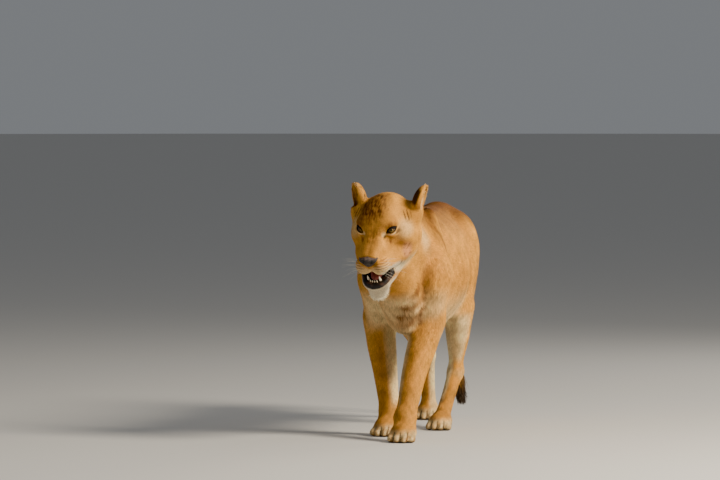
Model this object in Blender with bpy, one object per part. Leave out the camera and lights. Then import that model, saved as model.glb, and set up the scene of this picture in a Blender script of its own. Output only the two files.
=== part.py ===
"""A life-size lioness in mid-stride, as a still museum model.

The body is one smooth form: a list of rounded bones, muscles and pads that flow into each other.
The form is measured on a regular grid, its surface is drawn there, thinned to a few thousand
triangles, and then parted into named pieces by thin plates. Metres; she walks towards -Y, her left
side is +X, and the floor is z = 0.
"""

import math

import bmesh
import bpy
import numpy as np
from mathutils import Euler, Matrix, Vector

# ---------------------------------------------------------------- driving dimensions
BODY_CELL, BODY_TRIANGLES = 0.009, 3700  # the grid it is drawn on, and what is left of it
HEAD_CELL, HEAD_TRIANGLES = 0.006, 1800
CUT = 0.0007  # the thickness of the plates that part the pieces
CLEARANCE = 0.0004  # between an eye or the tongue and what holds it
DUST = 1e-6  # cubic metres; a cut's crumbs under this size are dropped

HEAD_CENTRE = Vector((-0.031, -0.772, 0.804))
HEAD_PITCH = math.radians(31)  # nose down
HEAD_YAW = math.radians(-10)  # nose towards her right
HEAD_ROLL = math.radians(1.0)
JAW_HINGE = Vector((0, 0.015, -0.035))  # in the head's own frame
MOUTH_OPENING = math.radians(23)
MOUTH_SIDE = math.radians(-5)  # as she pants, the jaw slips towards her right

EYE_RADIUS = 0.0185
EYE_PLACE = Vector((0.0560, -0.0620, 0.0440))  # in the head's own frame, on her left
EYE_OUTWARD = math.radians(24)
EYE_UPWARD = math.radians(24)
EYE_TILT = math.radians(17)  # the outer corner is the higher one
EYE_OPENING = (0.0375, 0.0145)  # width and height between the lids

TONGUE_CENTRE = Vector((0, -0.106, -0.064))  # in the jaw's frame
TONGUE_RADII = (0.030, 0.062, 0.011)
TONGUE_TILT = math.radians(-4)  # its tip is raised

LOWER_TEETH = (  # x, y, radius and height of each, in the jaw's frame
    (0.0240, -0.1660, 0.0052, 0.029),
    (-0.0240, -0.1660, 0.0052, 0.029),
    (0.0135, -0.1745, 0.0034, 0.017),
    (0.0047, -0.1765, 0.0032, 0.016),
    (-0.0047, -0.1765, 0.0032, 0.016),
    (-0.0135, -0.1745, 0.0034, 0.017),
)
TOOTH_FOOT = -0.067
GROUND = 0.0

LIMB_CUTS = (  # name, cut at the top, cut above the paw, name of the paw
    ("foreleg_left", ((0.070, -0.430, 0.378), (0.1, -0.2, -1), (0.080, 0.095)),
     ((0.026, -0.575, 0.112), (0.1, -0.3, -1), (0.07, 0.07)), "forepaw_left"),
    ("foreleg_right", ((-0.114, -0.277, 0.378), (0, 0, -1), (0.075, 0.095)),
     ((-0.086, -0.262, 0.112), (0, 0, -1), (0.07, 0.07)), "forepaw_right"),
    ("shank_left", ((0.105, 0.245, 0.335), (0, 0.15, -1), (0.080, 0.110)),
     ((0.066, 0.145, 0.088), (0, -0.8, -1), (0.06, 0.07)), "hindpaw_left"),
    ("shank_right", ((-0.086, 0.502, 0.330), (0.1, 0.8, -0.6), (0.075, 0.105)),
     ((-0.074, 0.672, 0.098), (0, 0.4, -1), (0.06, 0.07)), "hindpaw_right"),
)


# ---------------------------------------------------------------- frames
def frame(place, euler=(0, 0, 0), parent=None):
    """A 4 x 4 matrix at a place, turned by an XYZ Euler, inside a parent frame."""
    own = Matrix.Translation(place) @ Euler(euler).to_matrix().to_4x4()
    return parent @ own if parent else own


WORLD = Matrix.Identity(4)
HEAD = (
    Matrix.Translation(HEAD_CENTRE)
    @ Matrix.Rotation(HEAD_YAW, 4, "Z")
    @ Matrix.Rotation(HEAD_ROLL, 4, "Y")
    @ Matrix.Rotation(HEAD_PITCH, 4, "X")
)


def hinged(share):
    """The head's frame moved to the hinge of the jaw, and swung by a share of its opening."""
    swing = Euler((MOUTH_OPENING * share, 0, MOUTH_SIDE * share)).to_matrix().to_4x4()
    return HEAD @ Matrix.Translation(JAW_HINGE) @ swing


JAW = hinged(1) @ Matrix.Translation(-JAW_HINGE)
HEAD_CUT = HEAD @ Vector((0, 0.098, -0.02))  # the head ends here, behind ears and jaw
HEAD_CUT_NORMAL = (HEAD.to_3x3() @ Vector((0, -1, 0.42))).normalized()


# ---------------------------------------------------------------- distance formulas
def ellipsoid(radii):
    """Roughly the distance to an ellipsoid: k0 (k0 - 1) / k1, where k0 is the length of the point
    over the radii, and k1 that of the point over their squares."""
    r = np.array(radii)

    def distance(p):
        k0 = np.linalg.norm(p / r, axis=1)
        k1 = np.linalg.norm(p / (r * r), axis=1)
        return k0 * (k0 - 1) / np.maximum(k1, 1e-9)

    return distance


def cone(a, b, ra, rb, squash=None):
    """The distance to the nearest point of the line a-b, less a radius that eases from ra to rb.
    squash is (axis, share): the section is that share as wide along the axis."""
    a, b = np.array(a, float), np.array(b, float)
    along = b - a

    def distance(p):
        t = np.clip((p - a) @ along / (along @ along), 0, 1)
        q = p - a - t[:, None] * along
        radius = ra + (rb - ra) * t
        if squash is None:
            return np.linalg.norm(q, axis=1) - radius
        axis, share = np.array(squash[0], float), squash[1]
        axis = axis / np.linalg.norm(axis)
        side = q @ axis
        scaled = np.linalg.norm(q + np.outer(side * (1 / share - 1), axis), axis=1)
        true = np.linalg.norm(q, axis=1)
        stretch = np.where(scaled > 1e-9, true / np.maximum(scaled, 1e-9), 1.0)
        return (scaled - radius) * np.clip(stretch, share, 1)

    return distance


def curve_through(joints, each=5):
    """Points on a curve through the joints, with each joint's own speed (Catmull and Rom's)."""
    table = np.array(joints, float)
    table = np.concatenate([[2 * table[0] - table[1]], table, [2 * table[-1] - table[-2]]])
    made = []
    for i in range(1, len(table) - 2):
        a, b, c, d = table[i - 1 : i + 3]
        t = (np.arange(each) / each)[:, None]
        made.append(
            0.5 * (2 * b + (c - a) * t + (2 * a - 5 * b + 4 * c - d) * t**2
                   + (3 * b - 3 * c + d - a) * t**3)
        )
    return np.concatenate([*made, table[-2:-1]])


def eased(stations, values, at):
    """Values between stations, with the corners at the stations rounded off."""
    fine = np.linspace(stations[0], stations[-1], 241)
    line = np.interp(fine, stations, values)
    window = np.hanning(27)
    padded = np.pad(line, 13, mode="reflect", reflect_type="odd")
    return np.interp(at, fine, np.convolve(padded, window / window.sum(), "valid"))


def barrel(stations):
    """A tube along Y with an egg-shaped section. Each station is (y, centre z, half height, half
    width). The first-order distance is that of the ellipse at the point's own y."""
    table = np.array(stations)

    def distance(p):
        y = np.clip(p[:, 1], table[0, 0], table[-1, 0])
        mid, high, wide = (eased(table[:, 0], table[:, i], y) for i in (1, 2, 3))
        up = (p[:, 2] - mid) / high
        wide = wide * (1 - 0.13 * np.clip(up, -1, 1))
        q = np.stack([p[:, 0] / wide, up], axis=1)
        k0 = np.linalg.norm(q, axis=1)
        k1 = np.linalg.norm(q / np.stack([wide, high], axis=1), axis=1)
        section = k0 * (k0 - 1) / np.maximum(k1, 1e-9)
        beyond = np.abs(p[:, 1] - y)
        return np.where(beyond > 0, np.hypot(np.maximum(section, 0), beyond), section)

    return distance


# ---------------------------------------------------------------- the form
class Form:
    """Shapes joined or cut in order. Each holds a distance formula in its own frame."""

    def __init__(self):
        self.steps = []

    def step(self, distance, low, high, blend, inside=WORLD, mirror=False, cut=False):
        low, high = np.array(low, float), np.array(high, float)
        if mirror:
            reach = max(abs(low[0]), abs(high[0]))
            low[0], high[0] = -reach, reach
        corners = [
            inside @ Vector((x, y, z))
            for x in (low[0], high[0])
            for y in (low[1], high[1])
            for z in (low[2], high[2])
        ]
        corners = np.array([list(c) for c in corners])
        back = np.array(inside.inverted())
        self.steps.append(
            (distance, corners.min(0), corners.max(0), blend, back, mirror, cut)
        )

    def ball(self, place, radii, blend, inside=WORLD, turn=(0, 0, 0), **how):
        """An ellipsoid. With mirror, its twin on the other side of the frame comes too."""
        reach = max(radii)
        place = Vector(place)
        if any(turn):
            back = np.array(Euler(turn).to_matrix().inverted())
        else:
            back = np.eye(3)
        shape = ellipsoid(radii)
        centre = np.array(place)

        def distance(p):
            return shape((p - centre) @ back.T)

        self.step(distance, centre - reach, centre + reach, blend, inside, **how)

    def rod(self, a, b, ra, rb, blend, inside=WORLD, squash=None, **how):
        """A rounded cone from a to b."""
        low = np.minimum(a, b) - max(ra, rb)
        high = np.maximum(a, b) + max(ra, rb)
        self.step(cone(a, b, ra, rb, squash), low, high, blend, inside, **how)

    def chain(self, joints, blend, inside=WORLD, squash=None, **how):
        """One smooth tube through joints, each given as (x, y, z, radius)."""
        path = curve_through(joints)
        pieces = [
            cone(first[:3], second[:3], first[3], second[3], squash)
            for first, second in zip(path, path[1:])
        ]

        def distance(p):
            return np.minimum.reduce([piece(p) for piece in pieces])

        reach = path[:, 3].max()
        low, high = path[:, :3].min(0) - reach, path[:, :3].max(0) + reach
        self.step(distance, low, high, blend, inside, **how)

    def measure(self, points, far=0.06):
        """The signed distance of each point, smooth where the shapes meet: where two distances
        differ by less than the blend k, their lesser one drops by (k - difference)^2 / 4k."""
        field = np.full(len(points), far)
        for distance, low, high, blend, back, mirror, cut in self.steps:
            reach = blend + 0.03
            near = np.all((points > low - reach) & (points < high + reach), axis=1)
            if not near.any():
                continue
            local = points[near] @ back[:3, :3].T + back[:3, 3]
            if mirror:
                local[:, 0] = np.abs(local[:, 0])
            own = distance(local)
            old = field[near]
            if cut:
                own = -own
                h = np.clip(blend - np.abs(old - own), 0, None)
                field[near] = np.maximum(old, own) + h * h / (4 * blend)
            else:
                h = np.clip(blend - np.abs(old - own), 0, None)
                field[near] = np.minimum(old, own) - h * h / (4 * blend)
        return field


# ---------------------------------------------------------------- the lioness, part by part
def trunk(form):
    """The rib cage, belly and loins as one barrel, with the loose belly skin and the rump."""
    form.step(
        barrel(
            [
                (-0.50, 0.635, 0.110, 0.085),
                (-0.42, 0.635, 0.183, 0.125),
                (-0.30, 0.636, 0.232, 0.150),
                (-0.12, 0.630, 0.228, 0.164),
                (0.08, 0.634, 0.216, 0.172),
                (0.24, 0.654, 0.194, 0.166),
                (0.38, 0.684, 0.176, 0.148),
                (0.50, 0.700, 0.150, 0.128),
                (0.60, 0.706, 0.110, 0.100),
            ]
        ),
        (-0.18, -0.56, 0.38),
        (0.18, 0.66, 0.90),
        0.05,
    )
    form.chain(
        [
            (0, -0.36, 0.830, 0.036),
            (0, -0.26, 0.838, 0.040),
            (0, -0.05, 0.826, 0.032),
            (0, 0.20, 0.824, 0.034),
            (0, 0.42, 0.822, 0.038),
        ],
        0.06,
    )
    form.ball((0, 0.44, 0.775), (0.085, 0.13, 0.076), 0.06)  # the croup
    form.ball((0.058, 0.585, 0.675), (0.056, 0.080, 0.095), 0.05, mirror=True)  # the seat
    form.ball((0, -0.455, 0.535), (0.088, 0.080, 0.105), 0.06)  # the breast
    form.ball((0, -0.385, 0.450), (0.060, 0.120, 0.055), 0.05)  # the breastbone
    form.ball((0, 0.06, 0.455), (0.085, 0.19, 0.042), 0.06)  # the loose belly skin


def neck(form):
    """A thick neck from the back of the skull to the withers and the breast, with the throat."""
    form.chain(
        [
            (-0.026, -0.700, 0.778, 0.104),
            (-0.012, -0.590, 0.742, 0.116),
            (0.000, -0.480, 0.712, 0.134),
            (0.000, -0.400, 0.690, 0.150),
        ],
        0.06,
        squash=((1, 0, 0), 0.92),
    )
    form.chain(
        [
            (-0.018, -0.690, 0.842, 0.060),
            (-0.008, -0.560, 0.830, 0.064),
            (0.000, -0.400, 0.818, 0.070),
        ],
        0.05,
    )  # the nape
    form.chain(
        [
            (-0.026, -0.720, 0.690, 0.060),
            (-0.014, -0.620, 0.628, 0.074),
            (-0.004, -0.510, 0.570, 0.090),
        ],
        0.05,
    )  # the throat


def foreleg(form, side, shoulder, elbow, middle, wrist, blade_top, toe_turn):
    """Shoulder blade, upper arm with the triceps behind it, forearm and wrist."""
    form.rod(blade_top, shoulder, 0.044, 0.078, 0.06, squash=((1, 0, 0), 0.62))
    form.rod(shoulder, elbow, 0.080, 0.060, 0.05, squash=((1, 0, 0), 0.80))
    triceps = (Vector(shoulder) + Vector(elbow)) / 2 + Vector((0, 0.075, 0.045))
    form.ball(triceps, (0.048, 0.088, 0.115), 0.05)
    upper = Vector(elbow).lerp(Vector(middle), 0.5) + Vector((0, -0.006, 0))
    low = Vector(middle).lerp(Vector(wrist), 0.62)
    form.chain(
        [
            (*elbow, 0.058),
            (*upper, 0.058),
            (*middle, 0.0495),
            (*low, 0.0420),
            (*wrist, 0.0400),
        ],
        0.035,
        squash=((1, 0, 0), 0.98),
    )
    form.ball(Vector(elbow) + Vector((0, 0.036, 0.010)), (0.028, 0.030, 0.035), 0.03)
    paw = frame((wrist[0], wrist[1], GROUND), (0, 0, toe_turn))
    form.chain(
        [(0, 0.0, wrist[2], 0.0400), (0, -0.006, 0.062, 0.0395), (0, -0.024, 0.040, 0.0380)],
        0.02,
        paw,
    )
    toes(form, paw, 0.0, 1.04)
    form.ball((-side * 0.036, 0.010, 0.088), (0.012, 0.014, 0.016), 0.012, paw)  # dew claw
    form.ball((side * 0.006, 0.036, 0.098), (0.012, 0.012, 0.015), 0.014, paw)  # wrist pad


def toes(form, paw, back, size):
    """A broad paw: palm, four toes that fan out, and the heel pad. Its front is -Y."""
    s = size
    form.ball((0, -0.030 * s + back, 0.034 * s), (0.043 * s, 0.050 * s, 0.031 * s), 0.03, paw)
    form.ball((0, -0.018 * s + back, 0.013 * s), (0.030 * s, 0.028 * s, 0.018 * s), 0.012, paw)
    for place, reach in ((-0.0355, 0.066), (-0.0125, 0.083), (0.0125, 0.083), (0.0355, 0.066)):
        knuckle = (place * 0.85 * s, (-reach + 0.036) * s + back, 0.035 * s)
        tip = (place * 1.06 * s, -reach * s + back, 0.0135 * s)
        form.rod(knuckle, tip, 0.0165 * s, 0.0155 * s, 0.009, paw)


def hindleg(form, hip, knee, hock, ball, toe_turn, side):
    """Thigh with the hamstrings behind it, shank with the calf, hock, metatarsus and paw."""
    hip, knee, hock, ball = (Vector(p) for p in (hip, knee, hock, ball))
    form.chain(
        [(*hip, 0.135), (*hip.lerp(knee, 0.55), 0.112), (*knee, 0.070)],
        0.06,
        squash=((1, 0, 0), 0.54),
    )
    seat = hip + Vector((side * -0.004, 0.150, -0.035))
    calf = knee.lerp(hock, 0.42) + Vector((0, 0.030, 0.012))
    heel = hock + Vector((0, 0.022, 0.012))
    form.chain(
        [
            (*seat, 0.088),
            (*seat.lerp(calf, 0.5), 0.078),
            (*calf, 0.046),
            (*calf.lerp(heel, 0.6), 0.023),
            (*heel, 0.0175),
        ],
        0.045,
        squash=((1, 0, 0), 0.66),
    )
    form.chain(
        [
            (*knee, 0.062),
            (*knee.lerp(hock, 0.38), 0.050),
            (*knee.lerp(hock, 0.78), 0.0315),
            (*hock, 0.0290),
        ],
        0.035,
        squash=((1, 0, 0), 0.94),
    )
    low = hock.lerp(ball, 0.55) + Vector((0, 0.004, 0))
    form.chain(
        [(*(hock + Vector((0, 0.006, 0))), 0.0300), (*low, 0.0275), (*ball, 0.0300)], 0.025
    )
    paw = frame((ball.x, ball.y, GROUND), (0, 0, toe_turn))
    toes(form, paw, 0.012, 0.98)


def legs(form):
    """The stride: left fore and left hind reach forward, right fore carries, right hind trails."""
    foreleg(
        form,
        1,
        shoulder=(0.112, -0.462, 0.630),
        elbow=(0.088, -0.395, 0.448),
        middle=(0.044, -0.488, 0.258),
        wrist=(0.023, -0.585, 0.092),
        blade_top=(0.074, -0.330, 0.824),
        toe_turn=math.radians(-4),
    )
    foreleg(
        form,
        -1,
        shoulder=(-0.112, -0.440, 0.615),
        elbow=(-0.126, -0.278, 0.450),
        middle=(-0.103, -0.276, 0.262),
        wrist=(-0.085, -0.262, 0.090),
        blade_top=(-0.074, -0.270, 0.832),
        toe_turn=math.radians(-14),
    )
    hindleg(
        form,
        hip=(0.088, 0.400, 0.690),
        knee=(0.118, 0.195, 0.475),
        hock=(0.092, 0.275, 0.215),
        ball=(0.062, 0.098, 0.038),
        toe_turn=math.radians(-4),
        side=1,
    )
    hindleg(
        form,
        hip=(-0.088, 0.430, 0.685),
        knee=(-0.118, 0.355, 0.440),
        hock=(-0.066, 0.590, 0.262),
        ball=(-0.076, 0.700, 0.046),
        toe_turn=math.radians(3),
        side=-1,
    )


def tail(form):
    """A tail that hangs from the croup and ends in a tuft, swung a little to her left."""
    form.chain(
        [
            (0.000, 0.600, 0.792, 0.042),
            (0.000, 0.690, 0.735, 0.032),
            (-0.002, 0.765, 0.610, 0.0245),
            (0.000, 0.800, 0.450, 0.0205),
            (0.008, 0.812, 0.300, 0.0180),
            (0.020, 0.818, 0.200, 0.0175),
        ],
        0.02,
    )


def tail_tuft(form):
    """The long dark hair at the tail's end."""
    form.rod((0.021, 0.818, 0.190), (0.032, 0.824, 0.102), 0.0215, 0.0365, 0.03)
    form.rod((0.032, 0.824, 0.102), (0.040, 0.830, 0.062), 0.033, 0.010, 0.02)


def skull(form):
    """Cranium, brow, cheeks and the straight, broad bridge of the nose."""
    form.ball((0, 0.046, 0.028), (0.096, 0.118, 0.088), 0.04, HEAD)
    form.ball((0, -0.012, 0.044), (0.078, 0.085, 0.060), 0.04, HEAD)
    form.ball((0.047, -0.049, 0.0690), (0.033, 0.030, 0.019), 0.022, HEAD, mirror=True)
    form.ball((0.078, -0.002, -0.008), (0.045, 0.062, 0.050), 0.04, HEAD, mirror=True)
    form.ball((0.074, 0.050, -0.040), (0.048, 0.066, 0.066), 0.05, HEAD, mirror=True)
    form.ball((0.074, -0.004, -0.076), (0.038, 0.046, 0.036), 0.03, HEAD, mirror=True)
    form.chain(
        [
            (0.022, -0.030, 0.048, 0.042),
            (0.0200, -0.085, 0.032, 0.0335),
            (0.0170, -0.140, 0.014, 0.0275),
            (0.0135, -0.190, -0.002, 0.0215),
        ],
        0.030, HEAD, mirror=True,
    )
    form.chain([(0, -0.030, 0.052, 0.038), (0, -0.188, -0.002, 0.0212)], 0.012, HEAD)


def muzzle(form):
    """The whisker pads on both sides of the philtrum, the upper lips and the nose."""
    form.chain(
        [(0, -0.050, -0.016, 0.066), (0, -0.105, -0.024, 0.056), (0, -0.160, -0.026, 0.040)],
        0.03, HEAD,
    )
    form.ball((0.0285, -0.178, -0.0370), (0.0285, 0.0340, 0.0330), 0.012, HEAD,
              turn=(0.12, 0, 0.20), mirror=True)
    form.chain(
        [
            (0.034, -0.165, -0.047, 0.0260),
            (0.051, -0.115, -0.059, 0.0280),
            (0.066, -0.060, -0.062, 0.0360),
        ],
        0.026, HEAD, mirror=True,
    )
    form.ball((0, -0.199, 0.000), (0.0290, 0.0210, 0.0165), 0.007, HEAD)
    form.ball((0.0235, -0.196, 0.000), (0.0140, 0.0170, 0.0125), 0.006, HEAD, mirror=True)
    form.rod((0, -0.207, -0.006), (0, -0.203, -0.034), 0.0100, 0.0060, 0.008, HEAD)
    form.ball((0.0140, -0.2195, -0.0040), (0.0052, 0.0080, 0.0042), 0.003, HEAD,
              turn=(0, 0.5, -0.5), mirror=True, cut=True)
    form.rod((0, -0.223, -0.016), (0, -0.218, -0.048), 0.0022, 0.0030, 0.006, HEAD, cut=True)


def jaw(form):
    """The lower jaw swings on its hinge: two branches, the broad lip on its rim, and the chin."""
    form.chain(
        [
            (0.062, 0.020, -0.070, 0.040),
            (0.056, -0.060, -0.080, 0.030),
            (0.047, -0.120, -0.081, 0.0225),
            (0.032, -0.162, -0.081, 0.0205),
        ],
        0.022, JAW, mirror=True,
    )
    form.chain(
        [
            (0.0610, -0.060, -0.057, 0.0170),
            (0.0550, -0.110, -0.063, 0.0150),
            (0.0460, -0.152, -0.067, 0.0125),
            (0.0270, -0.183, -0.067, 0.0120),
            (0.0000, -0.193, -0.067, 0.0120),
        ],
        0.010, JAW, mirror=True,
    )
    form.ball((0, -0.166, -0.088), (0.045, 0.031, 0.030), 0.016, JAW)
    form.ball((0, -0.172, -0.118), (0.035, 0.033, 0.031), 0.02, JAW)
    form.ball((0, -0.085, -0.100), (0.050, 0.090, 0.022), 0.03, JAW)


def mouth(form):
    """The open mouth: a hollow between the palate and the floor of the jaw."""
    between = hinged(0.5)
    form.ball((0, -0.145, -0.030), (0.0380, 0.080, 0.0190), 0.006, between, cut=True)
    form.ball((0, -0.200, -0.032), (0.0460, 0.050, 0.0230), 0.006, between, cut=True)
    form.chain(
        [
            (0.046, -0.075, -0.0360, 0.0032),
            (0.051, -0.122, -0.0335, 0.0070),
            (0.056, -0.180, -0.0280, 0.0220),
        ],
        0.006, between, mirror=True, cut=True,
    )


def eyes(form):
    """A shallow orbit under the brow, and lids that close over the eyeball."""
    form.ball((0.058, -0.109, 0.033), (0.018, 0.020, 0.016), 0.030, HEAD, cut=True, mirror=True)
    form.ball(EYE_PLACE, (EYE_RADIUS + 0.0040,) * 3, 0.012, HEAD, mirror=True)


def ear(form, side, away, out_turn, lean, root):
    """A round cup on a broad base, thin at the rim, open outwards."""
    base = frame((side * away, 0.066, 0.060), parent=HEAD)
    up = Vector((side * lean, 0.42, 0.80)).normalized()
    open_to = Vector((side * math.sin(out_turn), -math.cos(out_turn), 0.20))
    open_to = (open_to - up * open_to.dot(up)).normalized()
    across = (-open_to).cross(up)
    own = Matrix((across, -open_to, up)).transposed().to_4x4()
    cup = base @ own
    form.ball((side * root, 0.062, 0.046), (0.046, 0.044, 0.040), 0.035, HEAD)
    form.ball((0, 0.004, 0.040), (0.0510, 0.0270, 0.0550), 0.012, cup)
    form.ball((0, -0.019, 0.049), (0.0425, 0.0270, 0.0455), 0.004, cup, cut=True)


def build_form():
    """The whole outline, in the order in which the parts flow into each other."""
    form = Form()
    trunk(form)
    neck(form)
    legs(form)
    tail(form)
    skull(form)
    muzzle(form)
    jaw(form)
    mouth(form)
    eyes(form)
    ear(form, 1, 0.124, math.radians(102), 0.38, 0.098)
    ear(form, -1, 0.101, math.radians(56), 0.29, 0.094)
    tail_tuft(form)
    return form


# ---------------------------------------------------------------- drawing the surface
def grid_field(form, low, high, cell):
    """Distances on a regular grid. A grid twice as coarse tells where the surface is near, and
    only the points there are measured finely."""
    counts = np.ceil((high - low) / (2 * cell)).astype(int) + 1
    axes = [low[i] + 2 * cell * np.arange(counts[i]) for i in range(3)]
    coarse = np.stack(np.meshgrid(*axes, indexing="ij"), axis=-1).reshape(-1, 3)
    rough = form.measure(coarse).reshape(counts)
    for axis in range(3):
        middle = (np.delete(rough, 0, axis) + np.delete(rough, -1, axis)) / 2
        size = list(rough.shape)
        size[axis] = 2 * size[axis] - 1
        fine = np.empty(size)
        every = [slice(None)] * 3
        every[axis] = slice(0, None, 2)
        fine[tuple(every)] = rough
        every[axis] = slice(1, None, 2)
        fine[tuple(every)] = middle
        rough = fine
    near = np.argwhere(np.abs(rough) < 3.2 * cell)
    rough[tuple(near.T)] = form.measure(low + near * cell)
    return rough


EVEN_ONE = ((0, 1, 2, 3), (1, 0, 3, 2), (2, 0, 1, 3), (3, 0, 2, 1))
EVEN_TWO = ((0, 1, 2, 3), (0, 2, 3, 1), (0, 3, 1, 2), (1, 2, 0, 3), (1, 3, 2, 0), (2, 3, 0, 1))


def surface_of(form, low, high, cell):
    """The surface through a grid whose cubes are halved into six tetrahedra each. One inner or
    one outer corner gives a triangle, and two of each give a square, so it is always closed."""
    low = np.array(low, float)
    field = grid_field(form, low, np.array(high, float), cell)
    size = np.array(field.shape)
    strides = np.array([size[1] * size[2], size[2], 1])
    flat, inside = field.ravel(), field.ravel() < 0
    filled = (field < 0).astype(np.int8)
    total = sum(
        filled[i : size[0] - 1 + i, j : size[1] - 1 + j, k : size[2] - 1 + k]
        for i in (0, 1)
        for j in (0, 1)
        for k in (0, 1)
    )
    corner = np.argwhere((total > 0) & (total < 8)) @ strides
    triangles = []
    for a, b, c in ((0, 1, 2), (1, 2, 0), (2, 0, 1), (0, 2, 1), (1, 0, 2), (2, 1, 0)):
        even = (a, b, c) in ((0, 1, 2), (1, 2, 0), (2, 0, 1))
        path = np.cumsum([0, strides[a], strides[b], strides[c]])
        tet = corner[:, None] + path
        within = inside[tet]
        count = within.sum(1)
        for order in EVEN_ONE:
            for lone in (True, False):
                chosen = tet[(count == (1 if lone else 3)) & (within[:, order[0]] == lone)]
                p, q, r, s = (chosen[:, i] for i in order)
                found = np.stack([p, q, p, r, p, s], axis=1).reshape(-1, 3, 2)
                triangles.append(found if even == lone else found[:, ::-1])
        for order in EVEN_TWO:
            chosen = tet[(count == 2) & within[:, order[0]] & within[:, order[1]]]
            p, q, r, s = (chosen[:, i] for i in order)
            for ends in ([p, r, p, s, q, s], [p, r, q, s, q, r]):
                found = np.stack(ends, axis=1).reshape(-1, 3, 2)
                triangles.append(found if even else found[:, ::-1])
    ends = np.sort(np.concatenate(triangles), axis=2)
    keys, faces = np.unique(ends[..., 0] * len(flat) + ends[..., 1], return_inverse=True)
    first, second = keys // len(flat), keys % len(flat)
    share = np.clip(flat[first] / (flat[first] - flat[second]), 0.03, 0.97)[:, None]
    place = [np.stack(np.unravel_index(ids, size), axis=1) for ids in (first, second)]
    points = low + cell * (place[0] * (1 - share) + place[1] * share)
    return points, faces.reshape(-1, 3)


def settle(form, points, times=3):
    """Moves each point along the slope of the field until it lies on the surface."""
    step = 0.0006
    for _ in range(times):
        value = form.measure(points)
        slope = np.stack(
            [
                form.measure(points + step * axis) - form.measure(points - step * axis)
                for axis in np.eye(3)
            ],
            axis=1,
        ) / (2 * step)
        share = value / np.maximum((slope**2).sum(1), 0.2)
        points = points - np.clip(share, -0.004, 0.004)[:, None] * slope
    return points


# ---------------------------------------------------------------- Blender helpers
def clear_scene():
    """Empties the scene, and makes one collection for the lioness and one for the cutters."""
    for obj in list(bpy.data.objects):
        bpy.data.objects.remove(obj)
    for name in ("lioness", "cutters"):
        bpy.context.scene.collection.children.link(bpy.data.collections.new(name))


def object_of(name, mesh):
    """A new object of the lioness that holds the mesh."""
    obj = bpy.data.objects.new(name, mesh)
    bpy.data.collections["lioness"].objects.link(obj)
    return obj


def as_cutter(obj):
    """Moves an object to the cutters, which no render or export shows."""
    bpy.data.collections["lioness"].objects.unlink(obj)
    bpy.data.collections["cutters"].objects.link(obj)
    obj.hide_render = True
    obj.display_type = "WIRE"
    return obj


def sphere(name, radius, matrix, segments=16, rings=10, scale=(1, 1, 1)):
    """A faceted ellipsoid in a frame."""
    mesh = bpy.data.meshes.new(name)
    shape = bmesh.new()
    bmesh.ops.create_uvsphere(shape, u_segments=segments, v_segments=rings, radius=radius)
    bmesh.ops.scale(shape, vec=scale, verts=shape.verts)
    bmesh.ops.transform(shape, matrix=matrix, verts=shape.verts)
    shape.to_mesh(mesh)
    shape.free()
    return object_of(name, mesh)


def cut(obj, cutter, operation="DIFFERENCE", keep=False):
    """The object after an exact Boolean with the cutter, as a new object of the same name."""
    modifier = obj.modifiers.new(cutter.name, "BOOLEAN")
    modifier.operation = operation
    modifier.object = cutter
    modifier.solver = "EXACT"
    graph = bpy.context.evaluated_depsgraph_get()
    mesh = bpy.data.meshes.new_from_object(obj.evaluated_get(graph))
    name = obj.name
    if keep:
        obj.modifiers.remove(modifier)
        return object_of(name + "_part", mesh)
    bpy.data.objects.remove(obj)
    return object_of(name, mesh)


def loose_pieces(obj):
    """One new object for each connected piece; dust under a cubic centimetre is left out."""
    shape = bmesh.new()
    shape.from_mesh(obj.data)
    left, pieces = set(shape.verts), []
    while left:
        found, edge = set(), [left.pop()]
        while edge:
            point = edge.pop()
            found.add(point)
            for link in point.link_edges:
                other = link.other_vert(point)
                if other in left:
                    left.discard(other)
                    edge.append(other)
        pieces.append(found)
    made = []
    for found in pieces:
        order = {point: i for i, point in enumerate(sorted(found, key=lambda v: v.index))}
        faces = {face for point in found for face in point.link_faces}
        faces = sorted(faces, key=lambda f: f.index)
        mesh = bpy.data.meshes.new(obj.name)
        mesh.from_pydata(
            [tuple(point.co) for point in order], [], [[order[v] for v in f.verts] for f in faces]
        )
        probe = bmesh.new()
        probe.from_mesh(mesh)
        volume = probe.calc_volume()
        probe.free()
        if volume > DUST:
            made.append(object_of(obj.name, mesh))
    shape.free()
    bpy.data.objects.remove(obj)
    return made


def box_of(obj):
    """The lowest and highest corner of the object's own points."""
    points = np.empty(len(obj.data.vertices) * 3)
    obj.data.vertices.foreach_get("co", points)
    points = points.reshape(-1, 3)
    return points.min(0), points.max(0)


def middle(obj):
    """The middle of the object's box."""
    return Vector(sum(box_of(obj)) / 2)


def part_off(obj, cutter, name):
    """Cuts the object through. The piece on the plate's far side takes the new name."""
    kept = obj.name
    pieces = loose_pieces(cut(obj, cutter))
    centre, normal = Vector(cutter["centre"]), Vector(cutter["normal"])
    pieces.sort(key=lambda piece: (middle(piece) - centre).dot(normal))
    far, rest = pieces[-1], pieces[0]
    rest.name = rest.data.name = kept
    far.name = far.data.name = name
    return rest, far


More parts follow.
